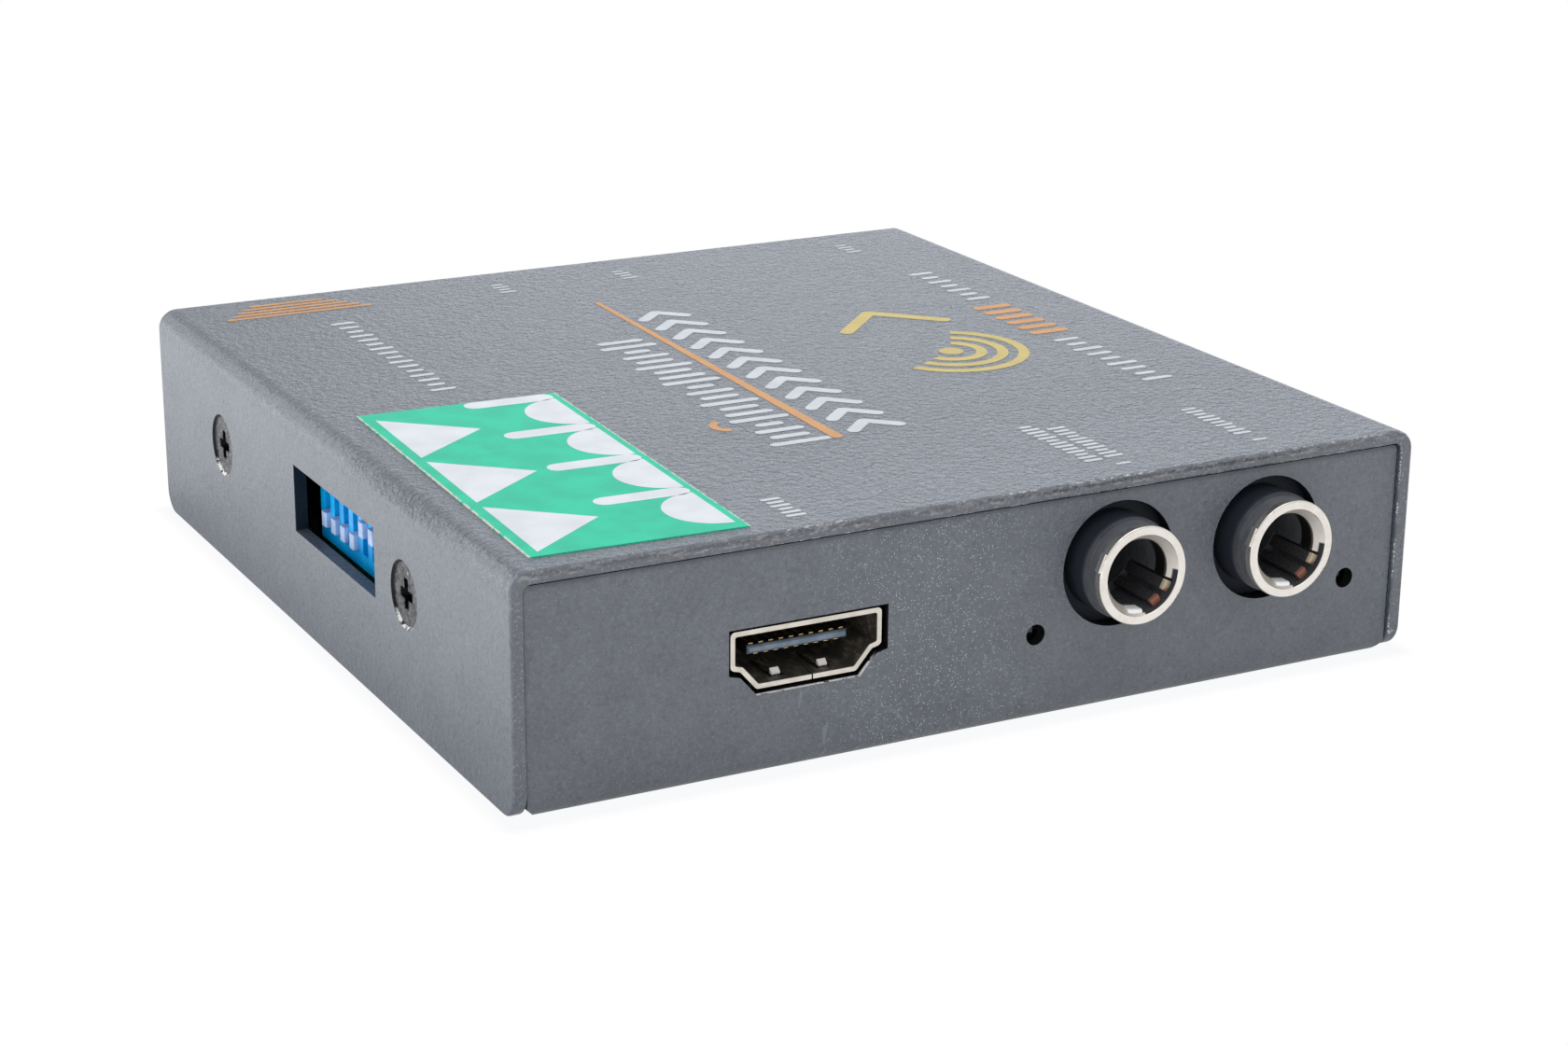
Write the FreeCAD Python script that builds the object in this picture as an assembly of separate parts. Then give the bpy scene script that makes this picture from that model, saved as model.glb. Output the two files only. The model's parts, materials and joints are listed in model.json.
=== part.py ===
"""Small metal video converter box: a bent cover over a bent chassis, with a board that carries
an HDMI socket and two 6.35 mm audio sockets in front, two BNC sockets and a power socket
behind, and a bank of eight slide switches in the left wall.

The frame has its origin at the centre of the underside, +X to the right seen from the HDMI
side, the front panel towards -Y and +Z up. Sizes are in millimetres.
"""
import FreeCAD, Part
import math
import os

Vec = FreeCAD.Vector
X = Vec(1, 0, 0)
Y = Vec(0, 1, 0)
Z = Vec(0, 0, 1)

# Case
case_w = 93.6
case_d = 96.6
case_h = 22.6
cover_t = 1.3
cover_bend = 2.0  # outer radius
edge_round = 0.25
wall_lift = 0.2  # wall edge above the underside
wall_corner = 2.5
pan_t = 1.2
pan_bend = 1.6  # outer radius
panel_recess = 0.5  # panel face behind the cover's edge
side_gap = 0.15
top_gap = 0.2
corner_cut = 1.6
panel_corner = 0.5

# Chassis tabs, where the cover is screwed on
tab_w = 12.0
tab_drop = 5.1  # tab's end below the cover's top
tab_gap = 0.1
tab_relief = 0.6
tab_boss_r = 2.8
tab_boss_len = 1.8
screw_front = 24.4  # first screw behind the cover's front edge
screw_rear = 20.7  # second screw before the cover's rear edge
screw_drop = 9.6  # below the cover's top
thread_r = 1.5
thread_clear = 0.03
sink_r = 3.25  # countersink at the surface
head_r = 3.0
cover_screw_len = 6.0
recess_r = 1.55
recess_w = 0.95
recess_depth = 1.3

# Board and its supports
board_drop = 14.6  # board's top below the cover's top
board_t = 1.6
board_gap = 0.6  # to tabs and panels
board_corner = 1.0
hole_clear = 0.1
standoff_r = 2.75
standoff_hex = 4.8  # across flats, clinched into the floor
hex_clear = 0.02
board_screw_len = 5.0
pan_head_r = 2.7
pan_head_h = 1.9
support_inset_x = 5.2
support_inset_y = 7.4
right_support_back = 5.1  # behind the audio sockets

# HDMI socket
hdmi_in = 28.4  # centre from the case's left side
hdmi_w = 15.0
hdmi_h = 5.6
hdmi_len = 11.4
hdmi_t = 0.45
hdmi_side = 3.5  # height of the upright side
hdmi_step = 0.95
hdmi_step_drop = 0.25
hdmi_foot = 9.9  # flat width at the bottom
hdmi_round = 0.45
hdmi_set = 0.5  # mouth behind the panel face
hdmi_gap = 0.4
hdmi_seam = 0.15
hdmi_seam_x = 0.5
tongue_w = 10.0
tongue_h = 0.85
tongue_drop = 2.6  # centre below the top of the shell
tongue_set = 1.7  # behind the mouth
tongue_bevel = 0.22
block_len = 4.2
contact_pitch = 1.0
contact_w = 0.42
contact_t = 0.15
contact_rise = 0.1  # above the tongue
contact_set = 0.35
finger_w = 0.85
finger_len = 4.2
finger_set = 1.35
finger_x = 2.35
finger_rise = 0.55
finger_nose = 0.4  # from the tip to the crest
finger_slit = 0.3
leg_w = 0.9
leg_out = 1.2  # below the board

# Audio sockets
jack_in = 16.4  # second socket's centre from the case's right side
jack_pitch = 16.6
jack_axis = 6.0  # above the board
jack_hole_r = 6.05
jack_out = 4.0  # ring face in front of the panel
jack_bore_r = 3.25
jack_depth = 31.0
jack_w = 15.6
jack_h = 12.2
jack_wall = 1.2
nose_r = 4.8
nose_neck_r = 4.6
nose_neck = 1.6
ring_r = 4.7
ring_t = 0.8
ring_mouth_r = 3.9
ring_taper = 1.0
sleeve_r = 3.95
sleeve_len = 2.0
key_angle = 158.0
key_w = 1.8
key_out = 0.15
slot_from = -90.0
slot_to = -15.0
slot_out = 0.85
slot_set = 0.3  # behind the ring's face
spring_t = 0.35
spring_w = 1.6
spring_angle = -98.0
spring_lift = 0.05
spring_head_t = 0.75
spring_head_len = 1.2
spring_head_round = 0.3
pad_w = 1.0
pad_t = 0.7
pad_angles = (-28.0, -55.0)
leaf_w = 3.2
leaf_h = 3.2
ring_leaf_at = 19.5
tip_leaf_at = 27.0
pin_w = 0.9

# BNC sockets
bnc_x = -9.6
bnc_pitch = 15.0
bnc_axis = 4.5  # above the board
bnc_block_w = 13.4
bnc_block_len = 9.5
bnc_out = 12.5  # mouth behind the rear panel face
bnc_r = 4.83
bnc_neck_r = 4.5  # behind the studs' front
bnc_bore_r = 4.08
bnc_bore_depth = 8.6
bnc_lip = 0.35
bnc_collar_r = 6.35
bnc_hole_gap = 0.1
bnc_thread_show = 0.7
stud_r = 1.0
stud_reach = 5.5
stud_set = 4.9
washer_r = 7.2
washer_t = 0.5
nut_flat = 14.0
nut_t = 2.2
core_r = 2.4
core_set = 3.2  # insulator face inside the mouth
core_disc = 2.0
pin_r = 1.1
pin_bore_r = 0.68
pin_bore_depth = 4.0
pin_show = 0.35
post_r = 0.5

# Power socket
power_in = 12.3  # centre from the case's right side
power_axis = 6.4
power_w = 9.0
power_h = 11.0
power_len = 13.4
power_nose_r = 4.0
power_nose_out = 0.8
power_bore_r = 2.9
power_depth = 10.5
power_hole_gap = 0.25
power_pin_r = 1.03
power_pin_len = 9.0
power_pin_tip = 0.4
power_spring_t = 0.3
power_spring_w = 2.2

# Switch bank
switch_count = 8
switch_pitch = 2.54
switch_ends = 1.5
switch_set = 2.7  # face behind the cover's outer face
switch_h = 6.6
switch_lift = 1.5  # above the board
switch_shell = 3.6
switch_base = 2.0
switch_face = 0.8
switch_travel = 1.9
switch_up = 4  # sliders at their upper end at rest, counted from the front
knob_y = 1.2
knob_z = 1.5
knob_out = 0.5
foot_y = 1.7
foot_z = 2.3
slide_gap = 0.08
stop_gap = 0.12
switch_pin = 0.5
switch_pin_t = 0.3
switch_rows = 5.08
window_front = 31.7
window_len = 21.8
window_lift = 2.35  # above the board
window_h = 6.8

# Status lamps
lamp_out = (-8.8, 9.6)  # from the first and from the second audio socket
lamp_hole_r = 1.0
lamp_w = 1.6
lamp_d = 1.0
lamp_h = 0.9

# Parts on the board: centre x and y from the place named, width, depth, height
main_chip_box = (-2.0, 4.0, 17.0, 17.0, 1.9)  # board's centre
memory_box = (-19.5, 4.0, 9.0, 13.0, 1.1)  # main chip
receiver_box = (0.0, 11.9, 10.0, 10.0, 1.2)  # rear of the HDMI socket
crystal_box = (-3.1, 27.9, 5.0, 3.2, 1.1)  # rear of the HDMI socket
codec_box = (8.2, 10.6, 7.0, 7.0, 1.0)  # rear of the first audio socket
driver_box = (0.0, -5.5, 4.0, 4.0, 0.9)  # front of each BNC socket
thermal_t = 0.4
thermal_in = 1.0
sink_base = 1.4
sink_h = 7.0
fin_t = 0.9
fin_count = 7
coil_size = 7.0
coil_h = 4.2
coil_corner = 1.2
coil_at = ((-4.5, -13.9), (-13.5, -24.4))  # front of the power socket
can_r = 3.15
can_h = 7.4
can_foot = 6.6
can_foot_h = 0.9
can_at = ((4.0, -12.4), (-3.5, -27.4), (-12.5, -7.4))  # front of the power socket
chip_w = 1.0
chip_d = 0.55
chip_h = 0.5
chip_pitch = 1.9
# Rows of small parts: start x and y from the place named, length
hdmi_row = (-9.6, 22.4, 14.3)  # rear of the HDMI socket
audio_row = (-3.8, 6.1, 18.1)  # rear of the first audio socket
chip_rows = ((-10.0, -15.5, 16.2), (-11.0, 15.0, 21.9), (-28.0, 16.5, 12.4))  # main chip

# Label on the cover
label_w = 20.4
label_d = 45.6
label_t = 0.1
label_in_x = 3.0
label_in_y = 2.9
label_turn = -2.3

# Worked-out places
front = -case_d / 2
rear = case_d / 2
wall_in = case_w / 2 - cover_t
pan_half = wall_in - side_gap
face_y = front + panel_recess
panel_y = face_y + pan_t
rear_face_y = rear - panel_recess
rear_panel_y = rear_face_y - pan_t
panel_top = case_h - cover_t - top_gap
tab_top = case_h - tab_drop
screw_z = case_h - screw_drop
screw_ys = (front + screw_front, rear - screw_rear)
board_half_w = wall_in - tab_gap - pan_t - board_gap
board_half_d = rear_panel_y - board_gap
board_top = case_h - board_drop
board_z = board_top - board_t
pin_end = board_z - leg_out
window_z = board_top + window_lift
hdmi_x = hdmi_in - case_w / 2
jack_x = case_w / 2 - jack_in - jack_pitch
power_x = case_w / 2 - power_in
lamp_x = (jack_x + lamp_out[0], jack_x + jack_pitch + lamp_out[1])
main_at = main_chip_box[:2]
hdmi_rear = (hdmi_x, face_y + hdmi_set + hdmi_len)
audio_rear = (jack_x, face_y - jack_out + jack_depth + jack_wall)
bnc_front = (bnc_x, board_half_d - bnc_block_len)
power_front = (power_x, rear_panel_y - board_gap / 2 - power_len)
front_support_x = (hdmi_x + hdmi_w / 2 + jack_x - jack_w / 2) / 2
rear_support_x = (bnc_x + bnc_pitch + bnc_block_w / 2 + power_x - power_w / 2) / 2
supports = (
    (support_inset_x - board_half_w, support_inset_y - board_half_d),
    (front_support_x, support_inset_y - board_half_d),
    (board_half_w - support_inset_x, audio_rear[1] + right_support_back),
    (support_inset_x - board_half_w, board_half_d - support_inset_y),
    (rear_support_x, board_half_d - support_inset_y),
)

nodes = {}


def block(x0, x1, y0, y1, z0, z1):
    """A box between two corners."""
    return Part.makeBox(x1 - x0, y1 - y0, z1 - z0, Vec(x0, y0, z0))


def rod(radius, start, end):
    """A round bar from start to end."""
    way = end - start
    return Part.makeCylinder(radius, way.Length, start, way)


def cone(radius_a, radius_b, start, end):
    """A tapered round bar from start to end."""
    way = end - start
    return Part.makeCone(radius_a, radius_b, way.Length, start, way)


def prism(points, way):
    """A straight bar whose end face has these corners."""
    face = Part.Face(Part.makePolygon(list(points) + [points[0]]))
    return face.extrude(way)


def hexagon(across, centre, axis, length, flat_way):
    """A six-sided bar along axis, with a flat facing flat_way."""
    side_way = axis.cross(flat_way)
    corner = across / math.sqrt(3)
    points = []
    for k in range(6):
        angle = math.radians(30 + 60 * k)
        points.append(centre + flat_way * (corner * math.cos(angle)) + side_way * (corner * math.sin(angle)))
    return prism(points, axis * length)


def rounded(shape, radius, axis, keep):
    """Rounds the straight edges along axis whose middle passes keep."""
    picked = []
    for edge in shape.Edges:
        along = edge.tangentAt(edge.FirstParameter).cross(axis).Length < 1e-6
        if isinstance(edge.Curve, Part.Line) and along and keep(edge.CenterOfMass):
            picked.append(edge)
    return shape.makeFillet(radius, picked)


def join(shapes):
    """One solid from several that touch or overlap."""
    first, rest = shapes[0], shapes[1:]
    return first.fuse(rest).removeSplitter()


def widened(points, grow):
    """The outline of (x, z) corners moved outwards by grow, corner by corner."""
    result = []
    count = len(points)
    for k in range(count):
        before, here, after = points[k - 1], points[k], points[(k + 1) % count]
        ways = []
        for a, b in ((before, here), (here, after)):
            length = math.hypot(b[0] - a[0], b[1] - a[1])
            ways.append(((b[1] - a[1]) / length, (a[0] - b[0]) / length))
        (nx, nz), (mx, mz) = ways
        share = grow / (1 + nx * mx + nz * mz)
        result.append((here[0] + share * (nx + mx), here[1] + share * (nz + mz)))
    return result


def upright(points, y0, y1):
    """A bar along Y whose section is an outline of (x, z) corners."""
    return prism([Vec(x, y0, z) for x, z in points], Y * (y1 - y0))


def cross_recess(centre, axis, side_way):
    """The cutter for a cross recess that is sunk along axis."""
    up = axis.cross(side_way)
    bars = []
    for long_way, wide_way in ((side_way, up), (up, side_way)):
        corner = centre - long_way * recess_r - wide_way * (recess_w / 2)
        points = [corner, corner + long_way * 2 * recess_r]
        points += [points[1] + wide_way * recess_w, corner + wide_way * recess_w]
        bars.append(prism(points, axis * recess_depth))
    taper = cone(recess_r, recess_w / 2, centre, centre + axis * recess_depth)
    return join(bars).common(taper)


def screw_places():
    """Each cover screw: its place on the wall's outer face and the way it goes in."""
    return [(Vec(side * case_w / 2, y, screw_z), X * -side) for side in (-1, 1) for y in screw_ys]


def screw_seat(place, way):
    """The cutter that a countersunk cover screw needs."""
    head = cone(sink_r, thread_r, place, place + way * (sink_r - thread_r))
    hole = rod(thread_r + thread_clear, place, place + way * (cover_screw_len + sink_r))
    return join([head, hole])


def hdmi_outline(grow):
    """The HDMI socket's section seen from the front, moved outwards by grow."""
    top = board_top + hdmi_h
    low = top - hdmi_side
    shoulder = hdmi_w / 2 - hdmi_step
    half = [
        (hdmi_w / 2, top),
        (-hdmi_w / 2, top),
        (-hdmi_w / 2, low),
        (-shoulder, low - hdmi_step_drop),
        (-hdmi_foot / 2, board_top),
        (hdmi_foot / 2, board_top),
        (shoulder, low - hdmi_step_drop),
        (hdmi_w / 2, low),
    ]
    return [(hdmi_x + x, z) for x, z in widened(half, grow)]


def make_cover():
    """The outer shell: top and two walls from one bent sheet."""
    outer = block(-case_w / 2, case_w / 2, front, rear, wall_lift, case_h)
    outer = rounded(outer, cover_bend, Y, lambda m: m.z > case_h - cover_t)
    hollow = block(-wall_in, wall_in, front - 1, rear + 1, wall_lift - 1, case_h - cover_t)
    inner_bend = cover_bend - cover_t
    if inner_bend > 0:
        hollow = rounded(hollow, inner_bend, Y, lambda m: m.z > case_h / 2)
    cover = outer.cut(hollow)
    cover = rounded(cover, wall_corner, X, lambda m: m.z < wall_lift + cover_t)
    ends = [e for e in cover.Edges if abs(abs(e.CenterOfMass.y) - rear) < wall_corner]
    ends = [e for e in ends if not (isinstance(e.Curve, Part.Line) and e.Length < cover_t + 1e-6)]
    cover = cover.makeFillet(edge_round, ends)
    window_y = front + window_front
    window = block(-case_w, 0, window_y, window_y + window_len, window_z, window_z + window_h)
    seats = [screw_seat(place, way) for place, way in screw_places()]
    nodes["top_cover"] = cover.cut([window] + seats)


def make_tab(side, y):
    """One side tab of the chassis with its threaded boss, as an L-shaped bent strip."""
    face = wall_in - tab_gap
    root = face - tab_w / 2
    low_y, high_y = y - tab_w / 2, y + tab_w / 2
    outer = block(root, face, low_y, high_y, 0, tab_top)
    outer = rounded(outer, pan_bend, Y, lambda m: m.z < pan_t and m.x > face - pan_t)
    outer = rounded(outer, pan_bend, X, lambda m: m.z > tab_top - pan_t)
    inner = block(root - 1, face - pan_t, low_y - 1, high_y + 1, pan_t, tab_top + 1)
    inner = rounded(inner, pan_bend - pan_t, Y, lambda m: m.z < tab_top / 2 and m.x > root)
    boss = rod(tab_boss_r, Vec(face - pan_t / 2, y, screw_z), Vec(face - pan_t - tab_boss_len, y, screw_z))
    tab = join([outer.cut(inner), boss])
    if side < 0:
        tab = tab.mirror(Vec(0, 0, 0), X)
    return tab


def make_chassis():
    """Floor, front panel and rear panel from one bent sheet, with four side tabs."""
    outer = block(-pan_half, pan_half, face_y, rear_face_y, 0, panel_top)
    outer = rounded(outer, pan_bend, X, lambda m: m.z < pan_t)
    inner = block(-case_w, case_w, panel_y, rear_panel_y, pan_t, case_h)
    inner = rounded(inner, pan_bend - pan_t, X, lambda m: m.z < case_h / 2)
    pan = outer.cut(inner)
    pan = rounded(pan, panel_corner, Y, lambda m: m.z > panel_top - pan_t)
    cuts = []
    for side in (-1, 1):
        edge = side * pan_half
        for y0, y1 in ((face_y - 1, panel_y + pan_bend), (rear_panel_y - pan_bend, rear_face_y + 1)):
            notch = [Vec(edge, y0, 0), Vec(edge - side * corner_cut, y0, 0), Vec(edge, y0, corner_cut)]
            cuts.append(prism([p - Z * pan_t / 2 for p in notch], Y * (y1 - y0)))
        for y in screw_ys:
            half = tab_w / 2 + tab_relief
            x0, x1 = sorted((edge + side, edge - side * 2 * pan_bend))
            cuts.append(block(x0, x1, y - half, y + half, -1, pan_t + 1))
    pan = pan.cut(cuts)
    tabs = [make_tab(side, y) for side in (-1, 1) for y in screw_ys]
    chassis = join([pan] + tabs)

    holes = [screw_seat(place, way) for place, way in screw_places()]
    holes.append(upright(hdmi_outline(hdmi_gap), face_y - 1, panel_y + 1))
    for k in range(2):
        x = jack_x + k * jack_pitch
        z = board_top + jack_axis
        holes.append(rod(jack_hole_r, Vec(x, face_y - 1, z), Vec(x, panel_y + 1, z)))
        x = bnc_x + k * bnc_pitch
        z = board_top + bnc_axis
        bnc_hole_r = bnc_collar_r + bnc_hole_gap
        holes.append(rod(bnc_hole_r, Vec(x, rear_panel_y - 1, z), Vec(x, rear_face_y + 1, z)))
    for x in lamp_x:
        z = board_top + lamp_h / 2
        holes.append(rod(lamp_hole_r, Vec(x, face_y - 1, z), Vec(x, panel_y + 1, z)))
    z = board_top + power_axis
    power_hole_r = power_nose_r + power_hole_gap
    holes.append(rod(power_hole_r, Vec(power_x, rear_panel_y - 1, z), Vec(power_x, rear_face_y + 1, z)))
    for x, y in supports:
        holes.append(hexagon(standoff_hex + 2 * hex_clear, Vec(x, y, -1), Z, pan_t + 2, X))
    nodes["base_chassis"] = chassis.cut(holes)


def make_cover_screws():
    """Four countersunk screws, their heads just under the wall's face."""
    screws = []
    for place, way in screw_places():
        top = place + way * (sink_r - head_r)
        head = cone(head_r, thread_r, top, top + way * (head_r - thread_r))
        shank = rod(thread_r, top + way * (head_r - thread_r), top + way * cover_screw_len)
        shank = shank.makeChamfer(thread_r / 4, [shank.Edges[k] for k in end_edges(shank, way)])
        screws.append(join([head, shank]).cut(cross_recess(top, way, Y)))
    nodes["cover_screws"] = Part.makeCompound(screws)


def end_edges(bar, way):
    """The numbers of a round bar's circular edges at its far end."""
    reach = max(edge.CenterOfMass.dot(way) for edge in bar.Edges)
    found = []
    for k, edge in enumerate(bar.Edges):
        circle = isinstance(edge.Curve, Part.Circle)
        if circle and abs(edge.CenterOfMass.dot(way) - reach) < 1e-6:
            found.append(k)
    return found


def make_supports():
    """Clinched standoffs under the board and the pan-head screws that hold it."""
    standoffs = []
    screws = []
    for x, y in supports:
        foot = hexagon(standoff_hex, Vec(x, y, 0), Z, pan_t, X)
        body = rod(standoff_r, Vec(x, y, pan_t), Vec(x, y, board_z))
        bore = rod(thread_r + thread_clear, Vec(x, y, pan_t / 2), Vec(x, y, board_z + 1))
        standoffs.append(join([foot, body]).cut(bore))
        head = rod(pan_head_r, Vec(x, y, board_top), Vec(x, y, board_top + pan_head_h))
        rim = [head.Edges[k] for k in end_edges(head, Z)]
        head = head.makeFillet(pan_head_h / 2, rim)
        shank_end = max(board_top - board_screw_len, pan_t)
        shank = rod(thread_r, Vec(x, y, shank_end), Vec(x, y, board_top))
        recess = cross_recess(Vec(x, y, board_top + pan_head_h), -Z, X)
        screws.append(join([head, shank]).cut(recess))
    nodes["board_standoffs"] = Part.makeCompound(standoffs)
    nodes["board_screws"] = Part.makeCompound(screws)


def board_hole(x, y, radius):
    """The cutter for a round hole through the board."""
    return rod(radius, Vec(x, y, board_z - 1), Vec(x, y, board_top + 1))


def pin_slot(shape_box):
    """The cutter for a leg that passes the board, a little wider than the leg."""
    x0, x1, y0, y1 = shape_box
    gap = hole_clear
    return block(x0 - gap, x1 + gap, y0 - gap, y1 + gap, board_z - 1, board_top + 1)


def hdmi_legs():
    """The four legs of the HDMI shell as x0, x1, y0, y1."""
    mouth = face_y + hdmi_set
    result = []
    for side in (-1, 1):
        x_out = hdmi_x + side * hdmi_w / 2
        x_in = x_out - side * hdmi_t
        x0, x1 = sorted((x_out, x_in))
        for y in (mouth + finger_len, mouth + hdmi_len - leg_w):
            result.append((x0, x1, y, y + leg_w))
    return result


def hdmi_fingers(mouth):
    """The slits and the spring fingers in the shell's floor and roof."""
    slits = []
    fingers = []
    y0 = mouth + finger_set
    y1 = y0 + finger_len
    roof = board_top + hdmi_h
    for side in (-1, 1):
        x = hdmi_x + side * finger_x
        for z_out, up in ((board_top, 1), (roof, -1)):
            z_in = z_out + up * hdmi_t
            low, high = sorted((z_out - up, z_in + up * finger_slit / 2))
            half = finger_w / 2 + finger_slit
            slits.append(block(x - half, x + half, y0 - finger_slit, y1, low, high))
            crest = z_in + up * finger_rise
            points = [
                Vec(x - finger_w / 2, y1, z_in),
                Vec(x - finger_w / 2, y1, z_out),
                Vec(x - finger_w / 2, y0 + finger_nose, crest - up * hdmi_t),
                Vec(x - finger_w / 2, y0, z_in - up * hdmi_t / 2),
                Vec(x - finger_w / 2, y0, z_in + up * hdmi_t / 2),
                Vec(x - finger_w / 2, y0 + finger_nose, crest),
            ]
            fingers.append(prism(points, X * finger_w))
    return slits, fingers


def make_hdmi():
    """HDMI socket: folded shell, insulator with its tongue, and two rows of contacts."""
    mouth = face_y + hdmi_set
    back = hdmi_rear[1]
    outer = upright(hdmi_outline(0), mouth, back)
    outer = rounded(outer, hdmi_round, Y, lambda m: True)
    inner = upright(hdmi_outline(-hdmi_t), mouth - 1, back + 1)
    inner = rounded(inner, hdmi_round / 2, Y, lambda m: True)
    seam_x = hdmi_x + hdmi_seam_x
    seam_z = board_top + 2 * hdmi_t
    seam = block(seam_x, seam_x + hdmi_seam, mouth - 1, mouth + finger_set, board_top - 1, seam_z)
    slits, fingers = hdmi_fingers(mouth)
    shell = outer.cut([inner, seam] + slits)
    legs = []
    for x0, x1, y0, y1 in hdmi_legs():
        legs.append(block(x0, x1, y0, y1, pin_end, board_top + hdmi_h / 2))
    nodes["hdmi_shell"] = join([shell] + fingers + legs)

    tongue_z = board_top + hdmi_h - tongue_drop
    tip = mouth + tongue_set
    half_w, half_h = tongue_w / 2, tongue_h / 2
    tongue = block(hdmi_x - half_w, hdmi_x + half_w, tip, back, tongue_z - half_h, tongue_z + half_h)
    tongue = tongue.makeChamfer(tongue_bevel, [e for e in tongue.Edges if e.CenterOfMass.y < tip + 1e-6])
    plug = upright(hdmi_outline(-hdmi_t), back - block_len, back)
    plug = rounded(plug, hdmi_round / 2, Y, lambda m: True)
    contacts = []
    for row, count in ((1, 10), (-1, 9)):
        face_z = tongue_z + row * tongue_h / 2
        z0, z1 = sorted((face_z + row * contact_rise, face_z - row * contact_t))
        drop_y = back + contact_t + (row + 1) * 2 * contact_t
        for k in range(count):
            x0 = hdmi_x + (k - (count - 1) / 2) * contact_pitch - contact_w / 2
            x1 = x0 + contact_w
            blade = block(x0, x1, tip + contact_set, drop_y, z0, z1)
            drop = block(x0, x1, drop_y, drop_y + contact_t, board_top, z1)
            foot = block(x0, x1, drop_y, drop_y + 4 * contact_t, board_top, board_top + contact_t)
            contacts.append(join([blade, drop, foot]))
    nodes["hdmi_insulator"] = join([tongue, plug]).cut(contacts)
    nodes["hdmi_contacts"] = Part.makeCompound(contacts)


def spoke(centre, angle, radius, y):
    """A point at an angle and radius round a socket's axis."""
    turn = math.radians(angle)
    return Vec(centre.x + radius * math.cos(turn), y, centre.z + radius * math.sin(turn))


def wedge(centre, from_angle, to_angle, radius, y0, y1):
    """A slice of a disc round a socket's axis, for cutting a slot."""
    steps = 6
    far = radius * 2
    points = [Vec(centre.x, y0, centre.z)]
    for k in range(steps + 1):
        points.append(spoke(centre, from_angle + (to_angle - from_angle) * k / steps, far, y0))
    sector = prism(points, Y * (y1 - y0))
    return sector.common(rod(radius, Vec(centre.x, y0, centre.z), Vec(centre.x, y1, centre.z)))


def turned_block(centre, angle, r0, r1, width, y0, y1):
    """A bar along Y between two radii at an angle round a socket's axis."""
    bar = block(centre.x + r0, centre.x + r1, y0, y1, centre.z - width / 2, centre.z + width / 2)
    bar.rotate(centre, Y, -angle)
    return bar


def round_nose(bar, centre, y):
    """Rounds the edge of a bar's front end that lies nearest a socket's axis."""
    front_edges = [e for e in bar.Edges if abs(e.BoundBox.YMax - y) < 1e-6]
    near = min(front_edges, key=lambda e: (e.CenterOfMass - Vec(centre.x, y, centre.z)).Length)
    return bar.makeFillet(spring_head_round, [near])


def jack_leaf(centre, y, reach):
    """A side contact: a leaf by the bore, a bridge and a leg that goes through the board."""
    x_in = centre.x + jack_bore_r + 2 * spring_lift
    x_out = centre.x + reach
    z0, z1 = centre.z - leaf_h / 2, centre.z + leaf_h / 2
    leaf = block(x_in, x_in + spring_t, y - leaf_w / 2, y + leaf_w / 2, z0, z1)
    bridge = block(x_in, x_out, y + leaf_w / 2 - spring_t, y + leaf_w / 2, z0, z1)
    leg = block(x_out - spring_t, x_out, y + leaf_w / 2 - pin_w, y + leaf_w / 2, pin_end, z1)
    return join([leaf, bridge, leg])


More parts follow.
